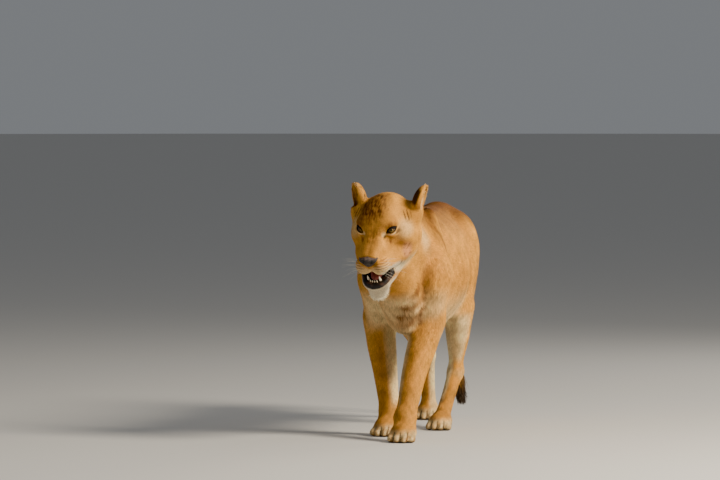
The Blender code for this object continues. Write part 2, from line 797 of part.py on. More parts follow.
# ---------------------------------------------------------------- the parting plates
def plate(name, centre, normal, half_width, half_height, wide=(1, 0, 0), inside=WORLD):
    """A thin rectangular plate. normal is across it, and wide the direction of its width."""
    n = Vector(normal).normalized()
    w = (Vector(wide) - n * Vector(wide).dot(n)).normalized()
    turn = Matrix((w, n.cross(w), n)).transposed().to_4x4()
    mesh = bpy.data.meshes.new(name)
    shape = bmesh.new()
    bmesh.ops.create_cube(shape, size=2)
    bmesh.ops.scale(shape, vec=(half_width, half_height, CUT / 2), verts=shape.verts)
    matrix = inside @ Matrix.Translation(centre) @ turn
    bmesh.ops.transform(shape, matrix=matrix, verts=shape.verts)
    shape.to_mesh(mesh)
    shape.free()
    obj = as_cutter(object_of(name, mesh))
    obj["centre"] = list(inside @ Vector(centre))
    obj["normal"] = list((inside.to_3x3() @ n).normalized())
    return obj


def block(name, low, high, inside=WORLD):
    """A box between two corners of a frame, as a cutter."""
    low, high = Vector(low), Vector(high)
    mesh = bpy.data.meshes.new(name)
    shape = bmesh.new()
    bmesh.ops.create_cube(shape, size=1)
    bmesh.ops.scale(shape, vec=high - low, verts=shape.verts)
    matrix = inside @ Matrix.Translation((low + high) / 2)
    bmesh.ops.transform(shape, matrix=matrix, verts=shape.verts)
    shape.to_mesh(mesh)
    shape.free()
    return as_cutter(object_of(name, mesh))


def thinned(obj, wanted):
    """Collapses the edges that matter least until the wanted number of triangles is left."""
    modifier = obj.modifiers.new("thin", "DECIMATE")
    triangles = sum(len(face.vertices) - 2 for face in obj.data.polygons)
    modifier.ratio = wanted / triangles
    modifier.use_collapse_triangulate = True
    graph = bpy.context.evaluated_depsgraph_get()
    mesh = bpy.data.meshes.new_from_object(obj.evaluated_get(graph))
    name = obj.name
    bpy.data.objects.remove(obj)
    return object_of(name, mesh)


# ---------------------------------------------------------------- eyes, mouth and nose
def eye_frame(side):
    """The frame of an eyeball that looks along -Y, in world space."""
    place = Vector((side * EYE_PLACE.x, EYE_PLACE.y, EYE_PLACE.z))
    look = Matrix.Rotation(side * EYE_OUTWARD, 4, "Z") @ Matrix.Rotation(-EYE_UPWARD, 4, "X")
    return HEAD @ Matrix.Translation(place) @ look


def eye(head, side, name):
    """Hollows the socket, opens the lids, and puts the eyeball in with a little air round it."""
    matrix = eye_frame(side)
    socket = as_cutter(sphere(name + "_socket", EYE_RADIUS + CLEARANCE, matrix, 14, 10))
    head = cut(head, socket)
    tilt = Matrix.Rotation(-side * EYE_TILT, 4, "Y")
    width, height = EYE_OPENING
    opening = matrix @ Matrix.Translation((0, -0.022, 0)) @ tilt
    shape = (width / 2, 0.016, height / 2)
    lids = as_cutter(sphere(name + "_opening", 1.0, opening, 12, 6, shape))
    head = cut(head, lids)
    ball = sphere(name, EYE_RADIUS * 0.985, matrix, 14, 10)
    return head, ball


def nose_of(head):
    """The nose pad is the part of the head inside a small box; the head keeps the rest."""
    low, high = Vector((-0.0345, -0.240, -0.020)), Vector((0.0345, -0.199, 0.030))
    nose = cut(head, block("nose_inside", low, high, HEAD), "INTERSECT", keep=True)
    nose.name = nose.data.name = "nose"
    gap = Vector((CUT, CUT, CUT)) * 0.7
    head = cut(head, block("nose_outside", low - gap, high + gap, HEAD))
    pieces = loose_pieces(head)
    pieces.sort(key=lambda piece: len(piece.data.vertices))
    head = pieces[-1]
    head.name = head.data.name = "head"
    return head, nose


def tongue_and_teeth(head, jaw):
    """A tongue on the floor of the mouth, and the lower teeth that show behind the lip."""
    turn = frame(TONGUE_CENTRE, (TONGUE_TILT, 0, 0), JAW)
    grown = [radius + CLEARANCE for radius in TONGUE_RADII]
    room = as_cutter(sphere("tongue_room", 1.0, turn, 14, 8, grown))
    jaw = cut(jaw, room)
    head = cut(head, room)
    tongue = sphere("tongue", 1.0, turn, 14, 8, [r * 0.98 for r in TONGUE_RADII])
    for index, (x, y, radius, height) in enumerate(LOWER_TEETH):
        mesh = bpy.data.meshes.new("tooth")
        shape = bmesh.new()
        bmesh.ops.create_cone(
            shape, cap_ends=True, segments=6, radius1=radius, radius2=radius * 0.2, depth=height
        )
        place = JAW @ Matrix.Translation((x, y, TOOTH_FOOT + height / 2))
        bmesh.ops.transform(shape, matrix=place, verts=shape.verts)
        shape.to_mesh(mesh)
        shape.free()
        tooth = as_cutter(object_of(f"tooth_{index}", mesh))
        jaw = cut(jaw, tooth, "UNION")
    return head, jaw, tongue


# ---------------------------------------------------------------- finishes
FINISHES = {
    "coat": ((0.47, 0.27, 0.10), 0.85),
    "dark": ((0.06, 0.045, 0.035), 0.9),
    "nose": ((0.03, 0.022, 0.02), 0.45),
    "eye": ((0.35, 0.20, 0.05), 0.08),
    "tongue": ((0.35, 0.08, 0.07), 0.4),
}
SPECIAL = {
    "nose": "nose",
    "eye_left": "eye",
    "eye_right": "eye",
    "tongue": "tongue",
    "tail_tuft": "dark",
}


def finish(obj):
    """Gives the object a material of its own."""
    kind = SPECIAL.get(obj.name, "coat")
    colour, roughness = FINISHES[kind]
    material = bpy.data.materials.new(obj.name + "_" + kind)
    material.use_nodes = True
    shader = material.node_tree.nodes["Principled BSDF"]
    shader.inputs["Base Color"].default_value = (*colour, 1)
    shader.inputs["Roughness"].default_value = roughness
    obj.data.materials.clear()
    obj.data.materials.append(material)


def centre_everything():
    """Moves the whole model so that the middle of its box stands over the origin."""
    nodes = list(bpy.data.collections["lioness"].objects)
    corners = np.array([corner for obj in nodes for corner in box_of(obj)])
    shift = -(corners.min(0) + corners.max(0)) / 2
    shift = Matrix.Translation((shift[0], shift[1], 0))
    for obj in nodes + list(bpy.data.collections["cutters"].objects):
        obj.data.transform(shift)


def half_of(form, ahead):
    """The form on one side of the head's cut. Half the parting gap is taken off each side."""
    half = Form()
    normal, centre = np.array(HEAD_CUT_NORMAL), np.array(HEAD_CUT)
    sign = 1 if ahead else -1
    half.steps = list(form.steps)
    half.step(
        lambda p: np.maximum(sign * ((p - centre) @ normal) - CUT, 0.46 - p[:, 2]),
        (-2, -2, -2),
        (2, 2, 2),
        0.0008,
        cut=True,
    )
    return half


def drawn(name, form, low, high, cell, triangles):
    """The form's surface inside a box, as an object thinned to a number of triangles."""
    points, faces = surface_of(form, low, high, cell)
    points = settle(form, points)
    mesh = bpy.data.meshes.new(name)
    mesh.from_pydata(points.tolist(), [], faces.tolist())
    mesh.update()
    return thinned(object_of(name, mesh), triangles)


def build():
    """Draws the body and the head, parts them into their pieces, and centres the whole."""
    clear_scene()
    form = build_form()
    body = drawn("body", half_of(form, False), (-0.22, -0.82, -0.03), (0.22, 0.90, 0.98),
                 BODY_CELL, BODY_TRIANGLES)
    head = drawn("head", half_of(form, True), (-0.24, -1.02, 0.48), (0.20, -0.58, 1.04),
                 HEAD_CELL, HEAD_TRIANGLES)
    body = cut(body, block("floor", (-0.5, -1.2, -0.2), (0.5, 1.2, GROUND)))
    head, jaw = part_off(head, plate("cut_jaw", (0, -0.03, -0.030), (0, 0, -1), 0.16, 0.24,
                                     inside=hinged(0.5)), "jaw")
    for side, name in ((1, "ear_left"), (-1, "ear_right")):
        away = 0.138 if side > 0 else 0.107
        head, cup = part_off(
            head,
            plate("cut_" + name, (side * away, 0.077, 0.083), (side * 0.46, 0.36, 0.80),
                  0.075, 0.075, inside=HEAD),
            name,
        )
        finish(cup)
    for side, name in ((1, "eye_left"), (-1, "eye_right")):
        head, ball = eye(head, side, name)
        finish(ball)
    head, nose = nose_of(head)
    head, jaw, tongue = tongue_and_teeth(head, jaw)
    for obj in (head, jaw, nose, tongue):
        finish(obj)

    body, throat = part_off(body, plate("cut_neck", (0, -0.53, 0.70), (0, -1, 0.12), 0.20, 0.28),
                            "neck")
    finish(throat)
    for name, (upper, normal, reach), (lower, low_normal, low_reach), low_name in LIMB_CUTS:
        body, limb = part_off(body, plate("cut_" + name, upper, normal, *reach), name)
        limb, paw = part_off(limb, plate("cut_" + low_name, lower, low_normal, *low_reach),
                             low_name)
        finish(limb)
        finish(paw)
    body, root = part_off(body, plate("cut_tail_base", (0, 0.668, 0.752), (0, 0.70, -0.71),
                                      0.05, 0.06), "tail_base")
    root, low_tail = part_off(root, plate("cut_tail_middle", (0, 0.792, 0.50),
                                          (0, 0.18, -1), 0.05, 0.05), "tail_middle")
    low_tail, tuft = part_off(low_tail, plate("cut_tail_tuft", (0.020, 0.818, 0.205),
                                              (0.05, 0.05, -1), 0.05, 0.05), "tail_tuft")
    for obj in (root, low_tail, tuft):
        finish(obj)
    body, hind = part_off(body, plate("cut_loins", (0, 0.105, 0.64), (0, 1, 0), 0.25, 0.30),
                          "hindquarters")
    belly, chest = part_off(body, plate("cut_ribs", (0, -0.150, 0.64), (0, -1, 0), 0.25, 0.30),
                            "chest")
    belly.name = belly.data.name = "belly"
    for obj in (hind, belly, chest):
        finish(obj)
    centre_everything()


if __name__ == "__main__":
    build()
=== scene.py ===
"""A life-size lioness in mid-stride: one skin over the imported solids, a coat of short hair tufts
in the skin's own markings, and the wet and hard parts of the face. Metres; she walks towards -Y
and her left side is +X."""

# %% [markdown]
# # The imported model
# The solids that carry the weight are already built, part by part, out to the tips of the coat.
# This lesson dresses them. Loading them first gives the frame that every later piece is placed in.

# %% Load the imported solids
import math
from functools import partial
from itertools import product

import bpy
import numpy as np
from mathutils import Euler, Matrix, Vector


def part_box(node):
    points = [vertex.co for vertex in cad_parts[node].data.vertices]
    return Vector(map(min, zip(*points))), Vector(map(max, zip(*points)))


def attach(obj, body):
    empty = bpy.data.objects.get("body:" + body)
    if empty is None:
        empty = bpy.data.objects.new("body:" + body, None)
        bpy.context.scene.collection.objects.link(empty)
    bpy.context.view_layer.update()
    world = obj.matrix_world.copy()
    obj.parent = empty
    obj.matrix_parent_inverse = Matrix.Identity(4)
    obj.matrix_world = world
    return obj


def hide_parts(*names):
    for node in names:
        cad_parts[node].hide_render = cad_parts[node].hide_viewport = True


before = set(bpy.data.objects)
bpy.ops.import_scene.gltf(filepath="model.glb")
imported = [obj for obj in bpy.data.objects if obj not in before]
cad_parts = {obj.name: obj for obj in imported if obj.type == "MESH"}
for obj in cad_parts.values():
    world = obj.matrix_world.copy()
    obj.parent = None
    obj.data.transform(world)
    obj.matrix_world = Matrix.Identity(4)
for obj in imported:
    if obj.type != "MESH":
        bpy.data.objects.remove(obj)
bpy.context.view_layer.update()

# %% [markdown]
# # The viewpoint
# A long lens, 23 metres away and at a standing person's eye level, looks along the path that she
# walks, from a little to her left. Such a lens hardly shortens the body, so the head keeps its
# true share of the outline. The lens sits off the body's middle line, so the camera is first put
# straight behind its aim and then moved sideways.

# %% Camera
SENSOR = 36.0  # millimetres, as is the lens
FOCAL = 300.0
CAMERA_AZIMUTH = math.radians(9)
CAMERA_HEIGHT = 1.6
CAMERA_DISTANCE = 23.22
ASIDE = 0.240  # how far the view's middle passes her own, to her right
TILT = math.atan(0.037)  # looking down
FARTHEST = 200
STANCE = Vector((0.0018, 0.0485, 0))  # the place between her paws that the view is centred on


def linked(obj):
    """The object, now in the scene."""
    bpy.context.scene.collection.objects.link(obj)
    return obj


along = Vector((-math.sin(CAMERA_AZIMUTH), math.cos(CAMERA_AZIMUTH), 0))
across = Vector((math.cos(CAMERA_AZIMUTH), math.sin(CAMERA_AZIMUTH), 0))
camera = linked(bpy.data.objects.new("camera", bpy.data.cameras.new("camera")))
camera.data.sensor_width = SENSOR
camera.data.lens = FOCAL
camera.data.clip_end = FARTHEST
camera.location = STANCE - along * CAMERA_DISTANCE - across * ASIDE + Vector((0, 0, CAMERA_HEIGHT))
gaze = along * math.cos(TILT) - Vector((0, 0, math.sin(TILT)))
camera.rotation_euler = gaze.to_track_quat("-Z", "Y").to_euler()
bpy.context.scene.camera = camera
print("camera at", tuple(round(v, 2) for v in camera.location))

# %% [markdown]
# # The studio
# A round pale floor, wide enough to reach the horizon from every side, and three large square
# lamps. The strongest hangs high on her left and models the muscles, a weak one opens the shade on
# her right, and one behind her draws the edge of the coat. Large lamps give soft shadows. The
# sky's own light is pale and even.

# %% Floor, lamps and sky
FLOOR_RADIUS = 60.0
FLOOR_SIDES = 64
FLOOR_DROP = 0.0005  # the floor lies this far under the soles, so that the two don't flicker
AIM = Vector((0.0, -0.1, 0.55))
LAMPS = (  # name, place, size, watts and colour
    ("key_lamp", (4.8, -3.0, 4.0), 1.8, 1350, (1.0, 0.90, 0.73)),
    ("fill_lamp", (-4.5, -4.5, 2.4), 3.5, 60, (0.92, 0.95, 1.0)),
    ("back_lamp", (2.5, 5.0, 3.6), 2.5, 150, (1.0, 0.94, 0.84)),
)
SKY, SKY_STRENGTH = (0.86, 0.90, 0.95, 1), 0.39


def set_values(node, **values):
    """Sets a node's sockets, with _ for each space in a name, or else its own settings."""
    for name, value in values.items():
        socket = name.replace("_", " ")
        if socket in node.inputs:
            node.inputs[socket].default_value = value
        else:
            setattr(node, name, value)


pale = bpy.data.materials.new("pale_floor")
pale.use_nodes = True
set_values(pale.node_tree.nodes["Principled BSDF"], Base_Color=(0.60, 0.585, 0.56, 1), Roughness=0.9)
turns = np.linspace(0, 2 * math.pi, FLOOR_SIDES, endpoint=False)
rim = np.stack([np.cos(turns), np.sin(turns), 0 * turns], axis=1) * FLOOR_RADIUS
floor_mesh = bpy.data.meshes.new("floor")
floor_mesh.from_pydata(rim.tolist(), [], [list(range(FLOOR_SIDES))])
floor_mesh.materials.append(pale)
floor = linked(bpy.data.objects.new("floor", floor_mesh))
floor.location.z = -FLOOR_DROP

for name, place, size, watts, tint in LAMPS:
    lamp = linked(bpy.data.objects.new(name, bpy.data.lights.new(name, "AREA")))
    lamp.data.size = size
    lamp.data.energy = watts
    lamp.data.color = tint
    lamp.location = place
    lamp.rotation_euler = (AIM - Vector(place)).to_track_quat("-Z", "Y").to_euler()

sky = bpy.data.worlds.new("pale_sky")
sky.use_nodes = True
set_values(sky.node_tree.nodes["Background"], Color=SKY, Strength=SKY_STRENGTH)
bpy.context.scene.world = sky
bpy.context.scene.view_settings.look = "AgX - Punchy"
print("floor,", len(LAMPS), "lamps and sky are up")

# %% [markdown]
# # Frames of the head and the jaw
# A head is easiest to shape upright and looking straight ahead, and then to turn as a whole. So it
# has its own frame, pitched down and turned a little to her right, and the jaw has another, swung
# open on its hinge below the ear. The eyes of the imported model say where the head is: their places
# are known in the head's frame, so the difference is the shift between the two.

# %% Head, jaw and eyes
HEAD_CENTRE = Vector((-0.031, -0.772, 0.804))
HEAD_PITCH = math.radians(31)  # nose down
HEAD_YAW = math.radians(-10)  # nose towards her right
HEAD_ROLL = math.radians(1.0)
JAW_HINGE = Vector((0, 0.015, -0.035))  # in the head's own frame
MOUTH_OPENING = math.radians(23)
MOUTH_SIDE = math.radians(-5)  # as she pants, the jaw slips towards her right

EYE_RADIUS = 0.0185
EYE_PLACE = Vector((0.0560, -0.0620, 0.0440))  # in the head's own frame, on her left
EYE_OUTWARD = math.radians(24)
EYE_UPWARD = math.radians(24)
EYE_TILT = math.radians(17)  # the outer corner is the higher one
EYE_OPENING = (0.0375, 0.0145)  # width and height between the lids
GROUND = 0.0


def placed(place, euler=(0, 0, 0), parent=None):
    """A 4 x 4 matrix at a place, turned by an XYZ Euler, inside a parent frame."""
    own = Matrix.Translation(place) @ Euler(euler).to_matrix().to_4x4()
    return parent @ own if parent else own


def look_matrix(outward, upward, size=4):
    """A turn from straight ahead to so far outwards and upwards."""
    return Matrix.Rotation(outward, size, "Z") @ Matrix.Rotation(-upward, size, "X")


WORLD = Matrix.Identity(4)
HEAD = (
    Matrix.Translation(HEAD_CENTRE)
    @ Matrix.Rotation(HEAD_YAW, 4, "Z")
    @ Matrix.Rotation(HEAD_ROLL, 4, "Y")
    @ Matrix.Rotation(HEAD_PITCH, 4, "X")
)


def hinged(share):
    """The head's frame moved to the hinge of the jaw, and swung by a share of its opening."""
    swing = Euler((MOUTH_OPENING * share, 0, MOUTH_SIDE * share)).to_matrix().to_4x4()
    return HEAD @ Matrix.Translation(JAW_HINGE) @ swing


JAW = hinged(1) @ Matrix.Translation(-JAW_HINGE)
eye_middles = [sum(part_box(name), Vector()) / 2 for name in ("eye_left", "eye_right")]
SHIFT = np.array(sum(eye_middles, Vector()) / 2 - HEAD @ Vector((0, EYE_PLACE.y, EYE_PLACE.z)))
print("the solids stand", np.round(SHIFT, 4), "from the frame that the shapes are given in")

# %% [markdown]
# # A body as one formula
# Muscles, bones and pads flow into each other, which separate meshes never do well. So each is a
# distance formula, negative inside and positive outside, and they are joined one after another
# with a soft minimum. Wherever two of them come within a set blend of each other, the crease
# between them is filled. A last formula for the whole body can then be asked for any point.

# %% Distance formulas
TINY = 1e-9  # keeps a division away from nothing
ROUNDING = 27  # samples over which the corners of a barrel's outline are rounded


def ellipse_distance(p, radii):
    """Roughly the distance to an ellipse or an ellipsoid: k0 (k0 - 1) / k1, where k0 is the length
    of the point over the radii, and k1 that of the point over their squares."""
    k0 = np.linalg.norm(p / radii, axis=1)
    k1 = np.linalg.norm(p / (radii * radii), axis=1)
    return k0 * (k0 - 1) / np.maximum(k1, TINY)


def cone(a, b, ra, rb, squash=None):
    """The distance to the nearest point of the line a-b, less a radius that eases from ra to rb.
    squash is the share of its width that the section keeps across the body."""
    a, b = np.array(a, float), np.array(b, float)
    along = b - a

    def distance(p):
        t = np.clip((p - a) @ along / (along @ along), 0, 1)
        q = p - a - t[:, None] * along
        radius = ra + (rb - ra) * t
        true = np.linalg.norm(q, axis=1)
        if squash is None:
            return true - radius
        scaled = np.linalg.norm(q + q * (1 / squash - 1, 0, 0), axis=1)
        stretch = np.where(scaled > TINY, true / np.maximum(scaled, TINY), 1.0)
        return (scaled - radius) * np.clip(stretch, squash, 1)

    return distance


def curve_through(joints, each=5):
    """Points on a curve through the joints, with each joint's own speed (Catmull and Rom's)."""
    table = np.array(joints, float)
    table = np.concatenate([[2 * table[0] - table[1]], table, [2 * table[-1] - table[-2]]])
    t = (np.arange(each) / each)[:, None]
    made = []
    for i in range(1, len(table) - 2):
        a, b, c, d = table[i - 1 : i + 3]
        bend, twist = 2 * a - 5 * b + 4 * c - d, 3 * b - 3 * c + d - a
        made.append(0.5 * (2 * b + (c - a) * t + bend * t**2 + twist * t**3))
    return np.concatenate([*made, table[-2:-1]])


def eased(stations, values, at):
    """Values between stations, with the corners at the stations rounded off."""
    fine = np.linspace(stations[0], stations[-1], 241)
    line = np.interp(fine, stations, values)
    window = np.hanning(ROUNDING)
    padded = np.pad(line, ROUNDING // 2, mode="reflect", reflect_type="odd")
    return np.interp(at, fine, np.convolve(padded, window / window.sum(), "valid"))


def barrel(stations):
    """A tube along Y with an egg-shaped section. Each station is (y, centre z, half height, half
    width). The first-order distance is that of the ellipse at the point's own y."""
    table = np.array(stations)

    def distance(p):
        y = np.clip(p[:, 1], table[0, 0], table[-1, 0])
        mid, high, wide = (eased(table[:, 0], table[:, i], y) for i in (1, 2, 3))
        up = (p[:, 2] - mid) / high
        wide = wide * (1 - 0.13 * np.clip(up, -1, 1))
        q = np.stack([p[:, 0] / wide, up], axis=1)
        k0 = np.linalg.norm(q, axis=1)
        k1 = np.linalg.norm(q / np.stack([wide, high], axis=1), axis=1)
        section = k0 * (k0 - 1) / np.maximum(k1, TINY)
        beyond = np.abs(p[:, 1] - y)
        return np.where(beyond > 0, np.hypot(np.maximum(section, 0), beyond), section)

    return distance


# %% The form that joins them
class Form:
    """Shapes joined or cut in order. Each holds a distance formula in its own frame."""

    def __init__(self):
        self.steps = []

    def step(self, distance, low, high, blend, inside=WORLD, mirror=False, cut=False):
        """Adds a distance formula that matters between two corners of a box in its frame."""
        low, high = np.array(low, float), np.array(high, float)
        if mirror:
            high[0] = max(abs(low[0]), abs(high[0]))
            low[0] = -high[0]
        corners = np.array([list(inside @ Vector(c)) for c in product(*zip(low, high))])
        back = np.array(inside.inverted())
        self.steps.append((distance, corners.min(0), corners.max(0), blend, back, mirror, cut))

    def ball(self, place, radii, blend, inside=WORLD, turn=(0, 0, 0), **how):
        """An ellipsoid. With mirror, its twin on the other side of the frame comes too."""
        centre, size, reach = np.array(Vector(place)), np.array(radii), max(radii)
        back = np.array(Euler(turn).to_matrix().inverted())
        self.step(lambda p: ellipse_distance((p - centre) @ back.T, size),
                  centre - reach, centre + reach, blend, inside, **how)

    def rod(self, a, b, ra, rb, blend, inside=WORLD, squash=None, **how):
        """A rounded cone from a to b."""
        low = np.minimum(a, b) - max(ra, rb)
        high = np.maximum(a, b) + max(ra, rb)
        self.step(cone(a, b, ra, rb, squash), low, high, blend, inside, **how)

    def chain(self, joints, blend, inside=WORLD, squash=None, **how):
        """One smooth tube through joints, each given as (x, y, z, radius)."""
        path = curve_through(joints)
        pieces = [cone(a[:3], b[:3], a[3], b[3], squash) for a, b in zip(path, path[1:])]
        reach = path[:, 3].max()
        self.step(lambda p: np.minimum.reduce([piece(p) for piece in pieces]),
                  path[:, :3].min(0) - reach, path[:, :3].max(0) + reach, blend, inside, **how)

    def measure(self, points, far=0.06):
        """The signed distance of each point, smooth where the shapes meet: where two distances
        differ by less than the blend k, their lesser one drops by (k - difference)^2 / 4k."""
        field = np.full(len(points), far)
        for distance, low, high, blend, back, mirror, cut in self.steps:
            reach = blend + 0.03
            near = np.all((points > low - reach) & (points < high + reach), axis=1)
            if not near.any():
                continue
            local = points[near] @ back[:3, :3].T + back[:3, 3]
            if mirror:
                local[:, 0] = np.abs(local[:, 0])
            own, old = distance(local), field[near]
            if cut:
                own = -own
            h = np.clip(blend - np.abs(old - own), 0, None)
            fill = h * h / (4 * blend)
            field[near] = np.maximum(old, own) + fill if cut else np.minimum(old, own) - fill
        return field

# %% [markdown]
# # The lioness, part by part
# The trunk is a barrel along her spine, and every limb is a chain of rounded cones along its
# bones, with the muscles laid beside it. The blends are wide where flesh is soft, as under the
# belly, and narrow where skin lies on bone or where toes part. While a limb is shaped, the line
# of its bones is kept too, because the hair will lie along it.

# %% Lines that the hair is combed along
COMBS = []
EARS = []
PAWS = []
LEFT, RIGHT = 1, -1


def comb(line, thickness):
    """Keeps a line of points that the coat runs along, and how far its own surface is from it."""
    COMBS.append((np.array([list(point) for point in line], float), thickness))


# %% Trunk and neck
def trunk(form):
    """The rib cage, belly and loins as one barrel, with the loose belly skin and the rump."""
    rings = (
        (-0.50, 0.635, 0.110, 0.085), (-0.42, 0.635, 0.183, 0.125), (-0.30, 0.636, 0.232, 0.150),
        (-0.12, 0.630, 0.228, 0.164), (0.08, 0.634, 0.216, 0.172), (0.24, 0.654, 0.194, 0.166),
        (0.38, 0.684, 0.176, 0.148), (0.50, 0.700, 0.150, 0.128), (0.60, 0.706, 0.110, 0.100),
    )
    form.step(barrel(rings), (-0.18, -0.56, 0.38), (0.18, 0.66, 0.90), 0.05)
    form.chain([(0, -0.36, 0.830, 0.036), (0, -0.26, 0.838, 0.040), (0, -0.05, 0.826, 0.032),
                (0, 0.20, 0.824, 0.034), (0, 0.42, 0.822, 0.038)], 0.06)  # the spine
    form.ball((0, 0.44, 0.775), (0.085, 0.13, 0.076), 0.06)  # the croup
    form.ball((0.058, 0.585, 0.675), (0.056, 0.080, 0.095), 0.05, mirror=True)  # the seat
    form.ball((0, -0.455, 0.535), (0.088, 0.080, 0.105), 0.06)  # the breast
    form.ball((0, -0.385, 0.450), (0.060, 0.120, 0.055), 0.05)  # the breastbone
    form.ball((0, 0.06, 0.455), (0.085, 0.19, 0.042), 0.06)  # the loose belly skin


def neck(form):
    """A thick neck from the back of the skull to the withers and the breast, nape and throat."""
    form.chain([(-0.026, -0.700, 0.778, 0.104), (-0.012, -0.590, 0.742, 0.116),
                (0.000, -0.480, 0.712, 0.134), (0.000, -0.400, 0.690, 0.150)], 0.06, squash=0.92)
    form.chain([(-0.018, -0.690, 0.842, 0.060), (-0.008, -0.560, 0.830, 0.064),
                (0.000, -0.400, 0.818, 0.070)], 0.05)
    form.chain([(-0.026, -0.720, 0.690, 0.060), (-0.014, -0.620, 0.628, 0.074),
                (-0.004, -0.510, 0.570, 0.090)], 0.05)


# %% Legs and paws
TOES = ((-0.0355, 0.066), (-0.0125, 0.083), (0.0125, 0.083), (0.0355, 0.066))  # across and ahead


def past(a, b, share, *shift):
    """A point at a share of the way from a to b, moved aside by a shift."""
    return Vector(a).lerp(Vector(b), share) + Vector(shift or (0, 0, 0))


def foreleg(form, side, shoulder, elbow, middle, wrist, blade_top, toe_turn):
    """Shoulder blade, upper arm with the triceps behind it, forearm and wrist."""
    form.rod(blade_top, shoulder, 0.044, 0.078, 0.06, squash=0.62)
    form.rod(shoulder, elbow, 0.080, 0.060, 0.05, squash=0.80)
    triceps = (Vector(shoulder) + Vector(elbow)) / 2 + Vector((0, 0.075, 0.045))
    form.ball(triceps, (0.048, 0.088, 0.115), 0.05)
    upper = past(elbow, middle, 0.5, 0, -0.006, 0)
    low = past(middle, wrist, 0.62)
    form.chain([(*elbow, 0.058), (*upper, 0.058), (*middle, 0.0495), (*low, 0.0420),
                (*wrist, 0.0400)], 0.035, squash=0.98)
    form.ball(Vector(elbow) + Vector((0, 0.036, 0.010)), (0.028, 0.030, 0.035), 0.03)
    paw = placed((wrist[0], wrist[1], GROUND), (0, 0, toe_turn))
    comb([blade_top, shoulder, elbow, middle, wrist, paw @ Vector((0, -0.01, 0.045)),
          paw @ Vector((0, -0.09, 0.015))], 0.045)
    form.chain([(0, 0.0, wrist[2], 0.0400), (0, -0.006, 0.062, 0.0395),
                (0, -0.024, 0.040, 0.0380)], 0.02, paw)
    toes(form, paw, 0.0, 1.04)
    form.ball((-side * 0.036, 0.010, 0.088), (0.012, 0.014, 0.016), 0.012, paw)  # dew claw
    form.ball((side * 0.006, 0.036, 0.098), (0.012, 0.012, 0.015), 0.014, paw)  # wrist pad


def toes(form, paw, back, s):
    """A broad paw of size s: palm, heel pad and four toes that fan out. Its front is -Y."""
    PAWS.append((paw, back, s))
    form.ball((0, -0.030 * s + back, 0.034 * s), (0.043 * s, 0.050 * s, 0.031 * s), 0.03, paw)
    form.ball((0, -0.018 * s + back, 0.013 * s), (0.030 * s, 0.028 * s, 0.018 * s), 0.012, paw)
    for place, reach in TOES:
        knuckle = (place * 0.85 * s, (-reach + 0.036) * s + back, 0.035 * s)
        tip = (place * 1.06 * s, -reach * s + back, 0.0135 * s)
        form.rod(knuckle, tip, 0.0165 * s, 0.0155 * s, 0.009, paw)


def hindleg(form, side, hip, knee, hock, ball, toe_turn):
    """Thigh with the hamstrings behind it, shank with the calf, hock, metatarsus and paw."""
    hip, knee, hock, ball = (Vector(p) for p in (hip, knee, hock, ball))
    form.chain([(*hip, 0.135), (*hip.lerp(knee, 0.55), 0.112), (*knee, 0.070)], 0.06, squash=0.54)
    seat = hip + Vector((side * -0.004, 0.150, -0.035))
    calf = past(knee, hock, 0.42, 0, 0.030, 0.012)
    heel = hock + Vector((0, 0.022, 0.012))
    form.chain([(*seat, 0.088), (*seat.lerp(calf, 0.5), 0.078), (*calf, 0.046),
                (*calf.lerp(heel, 0.6), 0.023), (*heel, 0.0175)], 0.045, squash=0.66)
    form.chain([(*knee, 0.062), (*knee.lerp(hock, 0.38), 0.050), (*knee.lerp(hock, 0.78), 0.0315),
                (*hock, 0.0290)], 0.035, squash=0.94)
    form.chain([(*(hock + Vector((0, 0.006, 0))), 0.0300),
                (*past(hock, ball, 0.55, 0, 0.004, 0), 0.0275), (*ball, 0.0300)], 0.025)
    paw = placed((ball.x, ball.y, GROUND), (0, 0, toe_turn))
    toes(form, paw, 0.012, 0.98)
    comb([hip, knee, hock, ball, paw @ Vector((0, -0.08, 0.015))], 0.045)
    comb([seat, calf, heel], 0.045)


def legs(form):
    """The stride: left fore and left hind reach forward, right fore carries, right hind trails."""
    foreleg(form, LEFT, shoulder=(0.112, -0.462, 0.630), elbow=(0.088, -0.395, 0.448),
            middle=(0.044, -0.488, 0.258), wrist=(0.023, -0.585, 0.092),
            blade_top=(0.074, -0.330, 0.824), toe_turn=math.radians(-4))
    foreleg(form, RIGHT, shoulder=(-0.112, -0.440, 0.615), elbow=(-0.126, -0.278, 0.450),
            middle=(-0.103, -0.276, 0.262), wrist=(-0.085, -0.262, 0.090),
            blade_top=(-0.074, -0.270, 0.832), toe_turn=math.radians(-14))
    hindleg(form, LEFT, hip=(0.088, 0.400, 0.690), knee=(0.118, 0.195, 0.475),
            hock=(0.092, 0.275, 0.215), ball=(0.062, 0.098, 0.038), toe_turn=math.radians(-4))
    hindleg(form, RIGHT, hip=(-0.088, 0.430, 0.685), knee=(-0.118, 0.355, 0.440),
            hock=(-0.066, 0.590, 0.262), ball=(-0.076, 0.700, 0.046), toe_turn=math.radians(3))


# %% Tail
TAIL = (  # x, y, z and radius of each joint
    (0.000, 0.600, 0.792, 0.042), (0.000, 0.690, 0.735, 0.032), (-0.002, 0.765, 0.610, 0.0245),
    (0.000, 0.800, 0.450, 0.0205), (0.008, 0.812, 0.300, 0.0180), (0.020, 0.818, 0.200, 0.0175),
    (0.032, 0.824, 0.110, 0.0120),
)


def tail(form):
    """A tail that hangs from the croup. Its last bones lie inside the dark tuft."""
    form.chain(TAIL, 0.02)
    comb([joint[:3] for joint in TAIL], 0.02)


